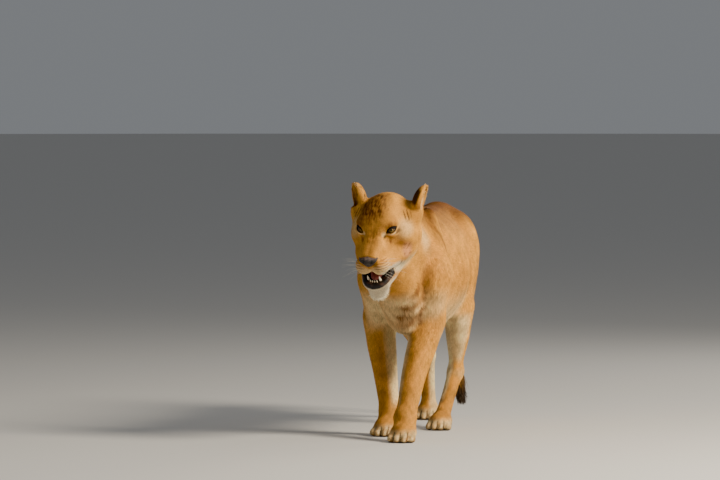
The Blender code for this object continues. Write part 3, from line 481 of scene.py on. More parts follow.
# %% Skull, muzzle and jaw
def skull(form):
    """Cranium, brow, cheeks and the straight, broad bridge of the nose."""
    form.ball((0, 0.046, 0.028), (0.096, 0.118, 0.088), 0.04, HEAD)
    form.ball((0, -0.012, 0.044), (0.078, 0.085, 0.060), 0.04, HEAD)
    form.ball((0.047, -0.049, 0.0690), (0.033, 0.030, 0.019), 0.022, HEAD, mirror=True)
    form.ball((0.078, -0.002, -0.008), (0.045, 0.062, 0.050), 0.04, HEAD, mirror=True)
    form.ball((0.074, 0.050, -0.040), (0.048, 0.066, 0.066), 0.05, HEAD, mirror=True)
    form.ball((0.074, -0.004, -0.076), (0.038, 0.046, 0.036), 0.03, HEAD, mirror=True)
    form.chain([(0.022, -0.030, 0.048, 0.042), (0.0200, -0.085, 0.032, 0.0335),
                (0.0170, -0.140, 0.014, 0.0275), (0.0135, -0.190, -0.002, 0.0215)],
               0.030, HEAD, mirror=True)
    form.chain([(0, -0.030, 0.052, 0.038), (0, -0.188, -0.002, 0.0212)], 0.012, HEAD)


def muzzle(form):
    """The whisker pads on both sides of the philtrum, the upper lips, the nose and its holes."""
    form.chain([(0, -0.050, -0.016, 0.066), (0, -0.105, -0.024, 0.056),
                (0, -0.160, -0.026, 0.040)], 0.03, HEAD)
    form.ball((0.0285, -0.178, -0.0370), (0.0285, 0.0340, 0.0330), 0.012, HEAD,
              turn=(0.12, 0, 0.20), mirror=True)
    form.chain([(0.034, -0.165, -0.047, 0.0260), (0.051, -0.115, -0.059, 0.0280),
                (0.066, -0.060, -0.062, 0.0360)], 0.026, HEAD, mirror=True)
    form.ball((0, -0.199, 0.000), (0.0290, 0.0210, 0.0165), 0.007, HEAD)
    form.ball((0.0235, -0.196, 0.000), (0.0140, 0.0170, 0.0125), 0.006, HEAD, mirror=True)
    form.rod((0, -0.207, -0.006), (0, -0.203, -0.034), 0.0100, 0.0060, 0.008, HEAD)
    form.ball((0.0140, -0.2195, -0.0040), (0.0052, 0.0080, 0.0042), 0.003, HEAD,
              turn=(0, 0.5, -0.5), mirror=True, cut=True)
    form.rod((0, -0.223, -0.016), (0, -0.218, -0.048), 0.0022, 0.0030, 0.006, HEAD, cut=True)


def jaw(form):
    """The lower jaw swings on its hinge: two branches, the broad lip on its rim, and the chin."""
    form.chain([(0.062, 0.020, -0.070, 0.040), (0.056, -0.060, -0.080, 0.030),
                (0.047, -0.120, -0.081, 0.0225), (0.032, -0.162, -0.081, 0.0205)],
               0.022, JAW, mirror=True)
    form.chain([(0.0610, -0.060, -0.057, 0.0170), (0.0550, -0.110, -0.063, 0.0150),
                (0.0460, -0.152, -0.067, 0.0125), (0.0270, -0.183, -0.067, 0.0120),
                (0.0000, -0.193, -0.067, 0.0120)], 0.010, JAW, mirror=True)
    form.ball((0, -0.166, -0.088), (0.045, 0.031, 0.030), 0.016, JAW)
    form.ball((0, -0.172, -0.118), (0.035, 0.033, 0.031), 0.02, JAW)
    form.ball((0, -0.085, -0.100), (0.050, 0.090, 0.022), 0.03, JAW)


def mouth(form, cut=True):
    """The open mouth: a hollow between the palate and the floor of the jaw."""
    between = hinged(0.5)
    form.ball((0, -0.145, -0.030), (0.0380, 0.080, 0.0190), 0.006, between, cut=cut)
    form.ball((0, -0.200, -0.032), (0.0460, 0.050, 0.0230), 0.006, between, cut=cut)
    form.chain([(0.046, -0.075, -0.0360, 0.0032), (0.051, -0.122, -0.0335, 0.0070),
                (0.056, -0.180, -0.0280, 0.0220)], 0.006, between, mirror=True, cut=cut)


# %% Eyes
LID = 0.0032  # the thickness of a lid
EYE_BACK = np.array(Euler((0, EYE_TILT, 0)).to_matrix()
                    @ look_matrix(EYE_OUTWARD, EYE_UPWARD, 3).inverted())


def opening_distance(q):
    """The distance to the opening of the eye, a slit between two arcs that meet in corners, for
    points in the frame of the eye's own look."""
    width, height = EYE_OPENING
    radius = (width * width + height * height) / (4 * height)
    offset = radius - height / 2
    upper, lower = (np.hypot(q[:, 0], q[:, 2] + up) - radius for up in (offset, -offset))
    return np.maximum(upper, lower)


def eyes(form):
    """A shallow orbit under the brow, lids that close over the eyeball, and the slit between."""
    centre, reach = np.array(EYE_PLACE), EYE_RADIUS + 0.02

    def slit(p):
        q = (p - centre) @ EYE_BACK.T
        return np.maximum(opening_distance(q), q[:, 1])

    form.ball((0.058, -0.109, 0.033), (0.018, 0.020, 0.016), 0.030, HEAD, cut=True, mirror=True)
    form.ball(EYE_PLACE, (EYE_RADIUS + LID,) * 3, 0.012, HEAD, mirror=True)
    form.step(slit, centre - reach, centre + reach, 0.002, HEAD, mirror=True, cut=True)


# %% Ears
def ear(form, side, away, out_turn, lean, root):
    """A round cup on a broad base, thin at the rim, open outwards."""
    base = placed((side * away, 0.066, 0.060), parent=HEAD)
    up = Vector((side * lean, 0.42, 0.80)).normalized()
    open_to = Vector((side * math.sin(out_turn), -math.cos(out_turn), 0.20))
    open_to = (open_to - up * open_to.dot(up)).normalized()
    cup = base @ Matrix(((-open_to).cross(up), -open_to, up)).transposed().to_4x4()
    EARS.append(cup)
    comb([cup @ Vector((0, 0, 0)), cup @ Vector((0, 0.005, 0.10))], 0.02)
    form.ball((side * root, 0.062, 0.046), (0.046, 0.044, 0.040), 0.035, HEAD)
    form.ball((0, 0.004, 0.040), (0.0510, 0.0270, 0.0550), 0.012, cup)
    form.ball((0, -0.019, 0.049), (0.0425, 0.0270, 0.0455), 0.004, cup, cut=True)


# %% The whole form
outline = Form()
for flow in (trunk, neck, legs, tail, skull, muzzle, jaw, mouth, eyes):  # each flows into the last
    flow(outline)
ear(outline, LEFT, 0.124, math.radians(102), 0.38, 0.098)
ear(outline, RIGHT, 0.101, math.radians(56), 0.29, 0.094)
HOLLOW = Form()  # the hollow of the mouth as a solid, to measure how far a point is from the lips
mouth(HOLLOW, cut=False)
print(len(outline.steps), "shapes in the form,", len(COMBS), "lines to comb along")

# %% [markdown]
# # Where things are
# Markings, the depth of the coat and the size of its hairs all depend on the place. These helpers
# give each point's place in the head's frame and how near it is to the eyes, the mouth and the
# nose, so that later cells can say "pale below the eye" in one line.

# %% Places on the body
def smooth(low, high, value):
    """0 up to low, 1 from high on, and an S-curve between: t t (3 - 2 t)."""
    t = np.clip((value - low) / (high - low), 0, 1)
    return t * t * (3 - 2 * t)


def local(points, frame_matrix):
    """The points in the coordinates of a frame."""
    back = np.array(frame_matrix.inverted())
    return points @ back[:3, :3].T + back[:3, 3]


def in_frame(points, matrix):
    """Points given in the coordinates of a frame, out in the open."""
    matrix = np.array(matrix)
    return points @ matrix[:3, :3].T + matrix[:3, 3]


def hump(points, centre, radii, soft=0.5):
    """1 at the centre of an ellipsoid and out to its soft share, falling to 0 at its radii."""
    far = np.linalg.norm((points - np.array(centre)) / np.array(radii), axis=1)
    return 1 - smooth(soft, 1.0, far)


class Places:
    """A set of points with what the markings and the coat ask of them."""

    def __init__(self, points):
        self.p = points
        self.h = local(points, HEAD)
        self.j = local(points, JAW)
        self.twin = np.concatenate([np.abs(self.h[:, :1]), self.h[:, 1:]], axis=1)  # on her left
        reach = np.linalg.norm(self.h - (0, -0.03, -0.02), axis=1)
        self.head = (1 - smooth(0.08, 0.17, self.h[:, 1])) * (1 - smooth(0.24, 0.31, reach))
        self.eye = np.linalg.norm(self.twin - np.array(EYE_PLACE), axis=1) - EYE_RADIUS
        self.mouth = HOLLOW.measure(points)
        from_nose = (self.h - (0, -0.214, -0.001)) / (0.032, 0.022, 0.020)
        self.nose = 1 - smooth(0.7, 1.25, np.linalg.norm(from_nose, axis=1))
        self.paw = 1 - smooth(0.06, 0.13, points[:, 2])


def coat_depth(where):
    """How far the skin lies inside the coat's outline: 6 mm on the body, 4 on the legs, 2 on the
    paws and the face, and next to nothing at lids, lips and nose."""
    depth = 0.0060 - 0.0022 * (1 - smooth(0.25, 0.45, where.p[:, 2])) - 0.0018 * where.paw
    depth = depth + (0.0021 - depth) * where.head
    bare = np.maximum(1 - smooth(0.004, 0.012, where.eye), 1 - smooth(0.001, 0.009, where.mouth))
    depth = depth * (1 - np.clip(bare, 0, 1)) + 0.0002 * bare
    return np.where(where.nose > 0, np.maximum(depth, 0.0012 * where.nose), depth)


# %% [markdown]
# # The skin
# The skin is where the formula, less the coat's depth, is zero. It is drawn by the method of
# surface nets: a regular grid is laid over the body, each cube that the surface passes through
# gets one point in the middle of its crossings, and each grid edge that is crossed gets one square
# between the four cubes around it. The squares are small on the head and large on the body, where
# hair hides them. The two grids are joined by a ring of triangles round the neck, so the skin has
# no gap.

# %% Surface nets
BODY_CELL = 0.0085
HEAD_CELL = 0.0026
JOIN = -0.600  # the neck is joined here, along Y
JOIN_FLOOR = 0.46  # below this height there is only body: her left forepaw reaches past the join


def halved(values, axis):
    """The grid with a value in the middle of every step along one axis."""
    size = list(values.shape)
    size[axis] = 2 * size[axis] - 1
    finer = np.moveaxis(np.empty(size), axis, 0)
    finer[::2] = np.moveaxis(values, axis, 0)
    finer[1::2] = (finer[2::2] + finer[:-2:2]) / 2
    return np.moveaxis(finer, 0, axis)


def grid_field(measure, low, high, cell):
    """Distances on a regular grid. A grid twice as coarse tells where the surface is near, and
    only the points there are measured finely."""
    counts = np.ceil((high - low) / (2 * cell)).astype(int) + 1
    axes = [low[i] + 2 * cell * np.arange(counts[i]) for i in range(3)]
    coarse = np.stack(np.meshgrid(*axes, indexing="ij"), axis=-1).reshape(-1, 3)
    field = measure(coarse).reshape(counts)
    for axis in range(3):
        field = halved(field, axis)
    near = np.argwhere(np.abs(field) < 3.2 * cell)
    field[tuple(near.T)] = measure(low + near * cell)
    return field


def nets(measure, low, high, cell):
    """Points and squares of the surface, as the text above describes."""
    low = np.array(low, float)
    field = grid_field(measure, low, np.array(high, float), cell)
    inside = field < 0
    corners = list(product((0, 1), repeat=3))
    size = np.array(field.shape) - 1
    total = sum(
        inside[i : i + size[0], j : j + size[1], k : k + size[2]].astype(np.int8)
        for i, j, k in corners
    )
    cells = np.argwhere((total > 0) & (total < 8))
    number = np.full(size, -1)
    number[tuple(cells.T)] = np.arange(len(cells))
    points, weight = np.zeros((len(cells), 3)), np.zeros(len(cells))
    for start, axis in product(corners, range(3)):
        if start[axis]:
            continue
        step = np.eye(3, dtype=int)[axis]
        a, b = (field[tuple((cells + corner).T)] for corner in (start, start + step))
        crossed = (a < 0) != (b < 0)
        t = np.where(crossed, a / np.where(crossed, a - b, 1), 0)
        points += (start + t[:, None] * step) * crossed[:, None]
        weight += crossed
    points = low + cell * (cells + points / weight[:, None])
    faces = []
    for axis in range(3):
        u, v = (axis + 1) % 3, (axis + 2) % 3
        front = np.delete(inside, -1, axis)
        edges = np.argwhere(front != np.delete(inside, 0, axis))
        edges = edges[(edges[:, u] > 0) & (edges[:, v] > 0)]
        edges = edges[(edges[:, u] < size[u]) & (edges[:, v] < size[v])]
        ring = []
        for du, dv in ((1, 1), (0, 1), (0, 0), (1, 0)):
            at = edges.copy()
            at[:, u] -= du
            at[:, v] -= dv
            ring.append(number[tuple(at.T)])
        ring = np.stack(ring, axis=1)
        leaving = front[tuple(edges.T)]
        faces.append(np.where(leaving[:, None], ring, ring[:, ::-1]))
    return points, np.concatenate(faces)


def skin_measure(points):
    """The distance to the skin: the outline's, plus the coat's depth there."""
    return outline.measure(points) + coat_depth(Places(points))


def slope_of(measure, points, step=0.0005):
    """The direction in which the distance grows fastest, which is the surface's normal."""
    rises = [measure(points + step * a) - measure(points - step * a) for a in np.eye(3)]
    return np.stack(rises, axis=1) / (2 * step)


def settle(measure, points, times=2, most=0.004):
    """Moves each point along the slope until it lies on the surface."""
    for _ in range(times):
        slope = slope_of(measure, points)
        share = measure(points) / np.maximum((slope**2).sum(1), 0.2)
        points = points - np.clip(share, -most, most)[:, None] * slope
    return points


# %% Two resolutions, joined round the neck
def rim_of(faces):
    """The open edge of a sheet of squares, as one loop of point numbers in walking order."""
    edges = np.concatenate([faces[:, [i, (i + 1) % 4]] for i in range(4)])
    keys = {(int(a), int(b)) for a, b in edges}
    ahead = {a: b for a, b in keys if (b, a) not in keys}
    loops = []
    while ahead:
        loop = [next(iter(ahead))]
        while loop[-1] in ahead:
            loop.append(ahead.pop(loop[-1]))
        loops.append(loop[:-1])
    return max(loops, key=len)


def zipped(first, second, points):
    """Triangles between two loops that face each other, each walked once from its top."""
    loops = []
    for loop in (first, second):
        loop = np.array(loop)
        loop = np.roll(loop, -int(np.argmax(points[loop, 2])))
        loop = np.append(loop, loop[0])
        length = np.linalg.norm(np.diff(points[loop], axis=0), axis=1)
        loops.append((loop, np.append(0, np.cumsum(length)) / length.sum()))
    (a, at), (b, bt) = loops
    made, i, j = [], 0, 0
    while i < len(a) - 1 or j < len(b) - 1:
        if j == len(b) - 1 or (i < len(a) - 1 and at[i + 1] < bt[j + 1]):
            made.append((a[i + 1], a[i], b[j]))
            i += 1
        else:
            made.append((b[j], b[j + 1], a[i]))
            j += 1
    return np.array(made)


def drawn_skin():
    """The points of the skin, its squares and the few triangles of the join."""
    body, body_faces = nets(skin_measure, (-0.23, -0.83, -0.03), (0.23, 0.92, 0.99), BODY_CELL)
    head, head_faces = nets(skin_measure, (-0.25, -1.03, 0.47), (0.20, -0.55, 1.05), HEAD_CELL)
    on_body = (body[:, 1] > JOIN + BODY_CELL) | (body[:, 2] < JOIN_FLOOR)
    on_head = (head[:, 1] < JOIN) & (head[:, 2] > JOIN_FLOOR)
    body_faces = body_faces[on_body[body_faces].all(1)]
    head_faces = head_faces[on_head[head_faces].all(1)] + len(body)
    points = np.concatenate([body, head])
    join = zipped(rim_of(body_faces), rim_of(head_faces)[::-1], points)
    corners = [faces.ravel() for faces in (body_faces, head_faces, join)]
    used, index = np.unique(np.concatenate(corners), return_inverse=True)
    squares = len(body_faces) + len(head_faces)
    return points[used], index[: 4 * squares].reshape(-1, 4), index[4 * squares :].reshape(-1, 3)


skin_points, skin_squares, join_triangles = drawn_skin()
print(len(skin_points), "points,", len(skin_squares), "squares and", len(join_triangles), "joining")

# %% Skin object
SOLE = 0.0005  # nothing goes lower: the paws press flat on the floor


def store(mesh, name, values):
    """Writes an attribute on the points: a colour from three columns, a number from one."""
    if values.ndim == 2:
        attribute = mesh.attributes.new(name, "FLOAT_COLOR", "POINT")
        values = np.concatenate([values, np.ones((len(values), 1))], axis=1)
        attribute.data.foreach_set("color", values.astype(np.float32).ravel())
    else:
        attribute = mesh.attributes.new(name, "FLOAT", "POINT")
        attribute.data.foreach_set("value", values.astype(np.float32))


def piece_of(name, points, groups, material=None, colour=None, flat=None, replaced=()):
    """A finished piece that rides on the body: its points, an array of corners for each group of
    faces, its material and stored colours, the place of each point in its OFBake map and the solids
    it stands for."""
    mesh = bpy.data.meshes.new(name)
    corners = np.concatenate([group.ravel() for group in groups])
    sizes = np.concatenate([np.full(len(group), group.shape[1]) for group in groups])
    mesh.vertices.add(len(points))
    mesh.vertices.foreach_set("co", (points + SHIFT).astype(np.float32).ravel())
    mesh.loops.add(len(corners))
    mesh.loops.foreach_set("vertex_index", corners.astype(np.int32))
    mesh.polygons.add(len(sizes))
    mesh.polygons.foreach_set("loop_start", (np.cumsum(sizes) - sizes).astype(np.int32))
    mesh.update(calc_edges=True)
    mesh.shade_smooth()
    if colour is not None:
        store(mesh, "markings", colour)
    if flat is not None:
        layer = mesh.uv_layers.new(name="OFBake")
        layer.data.foreach_set("uv", flat[corners].astype(np.float32).ravel())
    if material:
        mesh.materials.append(material)
    obj = linked(bpy.data.objects.new(name, mesh))
    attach(obj, "root")
    if replaced:
        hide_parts(*replaced)
    return obj


skin_points = settle(skin_measure, skin_points)
skin_points[:, 2] = np.maximum(skin_points[:, 2], SOLE)
dressed = ("eye_left", "eye_right", "tongue", "nose", "tail_tuft")  # these get pieces of their own
flesh = [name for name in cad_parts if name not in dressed]
skin = piece_of("skin", skin_points, (skin_squares, join_triangles), replaced=flesh)
print("skin of", len(skin.data.polygons), "faces")

# %% [markdown]
# # Her colours
# A lioness is tan, a little darker and redder along the back, and cream where sun seldom reaches:
# the belly, the inner sides of the legs, the chin and the lips. Dark skin rims the eyes and the
# mouth. Some patches are painted light and shade: painted shade deepens the back and her right
# forehead, and lies on top of the left shoulder, in creases, under the brows, in the ears' cups and
# in the folds before the ears, and painted sunlight pales the sides of the neck, her left forehead
# and the ears' far rims. The skin and every hair on it ask the same function for their colour, so
# that the coat and what shows between its hairs always agree. Patches come from masks with soft
# edges, and small irregularities from sums of waves, which give the same result each time.

# %% Palette and soft patterns
TAN = (0.560, 0.254, 0.045)
GOLD = (0.725, 0.352, 0.064)
# the back's own darker colour, deepened further to stand for painted shade
DARK_BACK_AND_SHADE = (0.140, 0.048, 0.010)
CREAM = (0.860, 0.650, 0.340)
WHITE = (0.860, 0.760, 0.560)
RUST = (0.230, 0.080, 0.022)
UMBER = (0.070, 0.030, 0.013)
BLACK = (0.010, 0.008, 0.008)
PINK = (0.620, 0.290, 0.190)
GUM = (0.090, 0.018, 0.014)


def ripple(points, size, seed, waves=10):
    """Soft random patches about a size across: the sum of sine waves in random directions, as
    large on average as 1."""
    rng = np.random.default_rng(seed)
    turns = rng.normal(size=(waves, 3))
    turns /= np.linalg.norm(turns, axis=1)[:, None]
    turns *= 2 * math.pi / (np.array(size) * rng.uniform(0.8, 1.6, (waves, 1)))
    phase = rng.uniform(0, 2 * math.pi, waves)
    return np.sin(points @ turns.T + phase).sum(1) / math.sqrt(waves / 2)


def paint(colour, *layers):
    """The colour moved towards each layer's tint in turn, by the layer's mask. A single tint in
    the colour's place is laid under the whole."""
    if len(np.shape(colour)) == 1:
        colour = np.tile(np.array(colour), (len(layers[0][0]), 1))
    for mask, tint in layers:
        colour = colour + (np.array(tint) - colour) * np.clip(mask, 0, 1)[:, None]
    return colour


def toe_crease_shade(points):
    """1 in the three creases between the toes of each paw, where painted shade darkens the coat."""
    found = np.zeros(len(points))
    for paw, back, s in PAWS:
        q = local(points, paw) / s
        spread = 1 - 0.20 * smooth(0.040, 0.075, q[:, 1] + 0.11)
        gap = np.min([np.abs(q[:, 0] - place * spread) for place in (-0.0255, 0, 0.0255)], axis=0)
        crease = (1 - smooth(0.0010, 0.0034, gap)) * (1 - smooth(0.036, 0.044, q[:, 2]))
        ahead = 1 - smooth(-0.052, -0.040, q[:, 1] - back)
        near = np.linalg.norm(q[:, :2] - (0, -0.06), axis=1) < 0.075
        found = np.maximum(found, crease * ahead * near)
    return found


# %% Markings of the body
def body_colour(where, normal):
    """Tan with a dark back, cream underneath and inside the legs, and pale toes. The dark back is
    partly her own colour and partly painted shade; painted shade also lies on top of the left
    shoulder, in the fold before it and between the toes, and painted sunlight pales the neck's sides.
    """
    p = where.p
    x, y, z = p.T
    spot = partial(hump, p)
    inwards, ahead, upward = -np.sign(x) * normal[:, 0], -normal[:, 1], normal[:, 2]
    along_back = smooth(0.30, 0.95, upward) * smooth(0.70, 0.86, z)
    shoulder_top_shade = spot((0.085, -0.42, 0.850), (0.085, 0.20, 0.075), 0.2)
    wave = 0.5 + 0.5 * np.sin(150 * (x + 0.55 * z) + 14 * y)
    shoulder_fold_shade = np.abs(y + 0.42 - 0.20 * (z - 0.72) - 0.9 * (x - 0.12)) / 0.016
    shoulder_fold_shade = (1 - smooth(0.2, 1.0, shoulder_fold_shade)) * spot((0.125, -0.40, 0.78), (0.07, 0.16, 0.14), 0.4)
    below = (1 - smooth(-0.9, 0.0, upward)) * smooth(0.34, 0.40, z) * (1 - smooth(0.52, 0.62, z))
    limb = 1 - smooth(0.46, 0.56, z)
    facing = 0.1 + 0.35 * (x > 0) * (y < 0)  # the left foreleg shows less of its pale side
    inner = smooth(facing, facing + 0.6, inwards) * limb * smooth(0.10, 0.16, z)
    groin = smooth(0.0, 0.6, inwards) * smooth(0.1, 0.2, y) * (1 - smooth(0.55, 0.7, z))
    shins = np.maximum(spot((0.12, 0.19, 0.36), (0.10, 0.12, 0.13), 0.6),
                       spot((-0.11, 0.37, 0.34), (0.10, 0.14, 0.12), 0.6))
    hocks = np.maximum(spot((0.092, 0.275, 0.215), (0.05, 0.05, 0.05), 0.3),
                       spot((-0.066, 0.590, 0.262), (0.05, 0.05, 0.05), 0.3))
    breast = np.maximum(spot((0.03, -0.50, 0.52), (0.13, 0.13, 0.19), 0.3),
                        spot((0.075, -0.57, 0.60), (0.07, 0.09, 0.14), 0.3))
    ticks = smooth(0.8, 1.7, ripple(p * (1, 1, 0.4), 0.013, 6))
    neck_side_light = np.maximum(spot((0.115, -0.60, 0.80), (0.06, 0.10, 0.13), 0.3),
                      spot((-0.135, -0.60, 0.80), (0.06, 0.10, 0.13), 0.3))
    toes_mask = (1 - smooth(0.030, 0.058, z)) * (0.85 + 0.15 * ripple(p, 0.02, 3))
    forearm = (1 - smooth(0.16, 0.40, z)) * (1 - inner)
    colour = paint(
        TAN,
        (0.22 + 0.22 * ripple(p, 0.16, 1), GOLD),
        # along the top of the back: partly her own darker colour, partly painted shade
        (0.95 * along_back, DARK_BACK_AND_SHADE),
        # painted shade on top of the left shoulder, in soft stripes
        (shoulder_top_shade * (0.45 + 0.20 * wave), DARK_BACK_AND_SHADE),
        # painted shade in the fold between the neck and the left shoulder
        (0.55 * shoulder_fold_shade, DARK_BACK_AND_SHADE),
        (0.85 * below, CREAM),
        (0.9 * inner, CREAM),
        (0.9 * groin, CREAM),
        (0.9 * smooth(0.1, 0.7, ahead) * shins, CREAM),
        (0.55 * hocks, CREAM),
        (breast * (0.32 + 0.30 * ripple(p * (1, 1, 0.45), 0.030, 2)), RUST),
        (0.5 * breast * ticks, UMBER),
        (0.55 * spot((-0.01, -0.66, 0.62), (0.09, 0.16, 0.09), 0.4), CREAM),  # the throat
        # painted sunlight: the pale sides of the neck
        (0.62 * neck_side_light, CREAM),
        (0.95 * toes_mask, CREAM),
        # painted shade in the creases between the toes
        (0.85 * toe_crease_shade(p), UMBER),
        (1 - smooth(0.003, 0.010, z), UMBER),  # the soles
        (0.9 * smooth(0.77, 0.80, y) * (1 - smooth(0.14, 0.26, z)), UMBER),  # the tail's end
        (0.22 * forearm * (1 - toes_mask), GOLD),
    )
    patchy = 0.075 * ripple(p, 0.060, 4) + 0.055 * ripple(p * (1, 0.5, 0.6), 0.013, 5)
    return colour * (1 + patchy)[:, None]


# %% Markings of the head
def slit_distance(where):
    """How far each point is from the opening between the lids, seen along the eye's axis."""
    q = (where.twin - np.array(EYE_PLACE)) @ EYE_BACK.T
    return opening_distance(q) + 10 * np.maximum(q[:, 1], 0), q


def head_colour(where):
    """Cream round the eyes and the mouth, black rims, a streaked forehead and small scars. Painted
    shade darkens her right forehead, the brows and the folds before the ears, and painted light
    brightens her left forehead.
    """
    h, t = where.h, where.twin
    spot = partial(hump, t)  # the same on both sides of the face
    streak = ripple(h * (2.6, 0.8, 1.0), 0.026, 12) + 0.8 * ripple(h * (2.4, 0.6, 1), 0.011, 13)
    crown_streaks_and_shade = np.maximum(hump(h, (-0.022, 0.000, 0.102), (0.082, 0.115, 0.070), 0.45),
                       0.8 * hump(h, (-0.048, -0.045, 0.088), (0.040, 0.045, 0.04), 0.4))
    ridge = spot((0.010, -0.120, 0.050), (0.026, 0.085, 0.030), 0.3)
    over = spot((0.062, -0.070, 0.070), (0.034, 0.034, 0.017), 0.3)
    below = spot((0.056, -0.096, 0.014), (0.024, 0.026, 0.020), 0.2)
    side = spot((0.095, -0.030, 0.030), (0.050, 0.060, 0.050), 0.3)
    row = np.abs(np.mod(t[:, 2] + 0.25 * t[:, 1] + 0.002, 0.0095) - 0.00475) / 0.00475
    rows = spot((0.044, -0.182, -0.032), (0.042, 0.044, 0.030), 0.6) * smooth(0.45, 0.90, row)
    lip = spot((0.050, -0.150, -0.080), (0.075, 0.100, 0.030), 0.5)
    corner = spot((0.074, -0.088, -0.102), (0.034, 0.050, 0.036), 0.4)
    first, last = np.array((0.060, -0.100, -0.104)), np.array((0.088, -0.093, -0.073))
    share = np.clip((t - first) @ (last - first) / ((last - first) @ (last - first)), 0, 1)
    crease = np.linalg.norm(t - first - share[:, None] * (last - first), axis=1)
    ear_fold_shade = spot((0.096, 0.012, 0.062), (0.024, 0.022, 0.034), 0.5)
    ear_fold_shade = ear_fold_shade * smooth(0.2, 0.8, np.sin(t[:, 0] * 420 + t[:, 1] * 260))
    scar = hump(h, (0.104, -0.058, -0.046), (0.026, 0.044, 0.046), 0.4)
    slit, q = slit_distance(where)
    pale = (1 - smooth(0.0012, 0.0026, np.abs(slit - 0.0066))) * (q[:, 2] < 0)
    pale = pale * (1 - smooth(0.006, 0.016, q[:, 0]))
    heavy = 0.0030 + 0.0058 * smooth(-0.002, 0.006, q[:, 2])
    return paint(
        TAN,
        (0.55 + 0.2 * ripple(h, 0.03, 11), GOLD),
        # rusty streaks on the forehead, deepened on her right by painted shade
        (crown_streaks_and_shade * (0.80 + 0.20 * streak), RUST),
        (crown_streaks_and_shade * (0.26 + 0.56 * smooth(0.2, 2.2, streak)), UMBER),
        # painted light: her left forehead lighter
        (0.35 * hump(h, (0.045, 0.02, 0.10), (0.06, 0.07, 0.05), 0.3), GOLD),
        (ridge * (0.30 + 0.15 * streak), RUST),
        (0.60 * spot((0.036, -0.100, 0.046), (0.013, 0.018, 0.014), 0.3), CREAM),  # eye corner
        # painted shade under the brows, above each eye
        (over * (0.62 + 0.15 * streak), RUST),
        (below * (0.60 + 0.2 * streak), RUST),
        (0.45 * spot((0.075, -0.125, -0.035), (0.050, 0.070, 0.045), 0.3), GOLD),  # cheek
        (0.40 * side, CREAM),
        (0.25 * side * smooth(0.2, 1.6, ripple(h, 0.014, 15)), RUST),
        (0.70 * spot((0.032, -0.185, -0.050), (0.050, 0.060, 0.036), 0.5), CREAM),  # whisker pad
        (0.72 * rows, RUST),
        (0.80 * np.maximum(lip, corner), WHITE),
        (0.9 * (1 - smooth(0.0016, 0.0050, crease)), UMBER),
        (0.86 * hump(where.j, (0, -0.160, -0.105), (0.090, 0.100, 0.060), 0.72), WHITE),  # chin
        (0.65 * spot((0.075, -0.020, -0.110), (0.055, 0.090, 0.060), 0.4), CREAM),  # jowl
        # painted shade in the folds before the ears
        (0.92 * ear_fold_shade, UMBER),
        (0.50 * scar, PINK),
        (0.62 * scar * smooth(0.2, 1.3, ripple(h, 0.012, 14)), RUST),
        (0.85 * spot((0.0365, -0.090, 0.034), (0.0075, 0.022, 0.013), 0.3), BLACK),  # tear line
        (0.80 * spot((0.080, -0.062, 0.040), (0.024, 0.024, 0.013), 0.3), UMBER),
        (0.75 * pale * (where.eye < 0.012), CREAM),
        ((1 - smooth(0.7, 1.1, slit / heavy)) * (where.eye < 0.014), BLACK),
    )


# %% Lips, ears and the mix of all
def cup_reach(e):
    """How far a point in an ear's frame is from the middle of its cup: 1 is at the rim."""
    return np.hypot(e[:, 0] / 0.048, (e[:, 2] - 0.040) / 0.055)


def ear_colour(colour, where):
    """Dark backs, golden front rims, and pale fur on the far wall of a cup whose near wall is
    darkened with painted shade. The pale far rims are partly the ear's own pale hair and partly a
    painted sunlit edge. Her right ear has only smudges behind, is golden with rusty streaks inside,
    and pales only on top."""
    for cup, is_left in zip(EARS, (True, False)):
        e = local(where.p, cup)
        near = hump(e, (0, 0, 0.045), (0.062, 0.050, 0.072), 0.85) * smooth(0.0, 0.02, e[:, 2])
        reach = cup_reach(e)
        back = near * smooth(0.000, 0.008, e[:, 1]) * (1 - smooth(0.062, 0.085, e[:, 2]))
        streak = ripple(e * (2.2, 1, 0.5), 0.012, 16)
        marks = 0.94 if is_left else 0.34 + 0.40 * streak
        inside = near * (1 - smooth(0.62, 0.80, reach)) * (1 - smooth(-0.006, 0.004, e[:, 1]))
        far = smooth(0.000, 0.016, e[:, 0])
        rust = np.clip(0.6 * streak if is_left else 0.30 + 0.5 * streak, 0, 0.8)
        edge = near * smooth(0.80, 0.96, reach) * (1 - smooth(-0.002, 0.008, e[:, 1]))
        high = 1 if is_left else smooth(0.062, 0.085, e[:, 2])
        colour = paint(
            colour,
            (marks * back, UMBER),
            # painted shade on the near wall inside the cup
            (0.80 * inside * (1 - far), UMBER),
            (0.75 * inside * far, CREAM if is_left else GOLD),
            (inside * far * rust, RUST),
            (0.8 * edge * (1 - far), GOLD),
            # the far rim pale: partly pale hair, partly a painted sunlit edge
            (0.8 * edge * far * high, CREAM),
            (0.8 * edge * far * (1 - high), GOLD),
        )
    return colour


def lip_mask(where):
    """1 on the bare black lips: a thin rim above, and a broad one round the front of the lower
    jaw that narrows towards the corners of the mouth."""
    j = where.j
    floor = -0.0700 + 0.030 * smooth(-0.125, -0.105, j[:, 1]) + 0.0008 * ripple(j, 0.014, 17)
    band = smooth(floor - 0.0015, floor + 0.0015, j[:, 2]) * (1 - smooth(-0.044, -0.036, j[:, 2]))
    ahead = 1 - smooth(-0.080, -0.050, j[:, 1])
    lower = band * ahead * hump(j, (0, -0.130, -0.060), (0.090, 0.120, 0.050), 0.9)
    return np.maximum(1 - smooth(0.0020, 0.0050, where.mouth), lower)


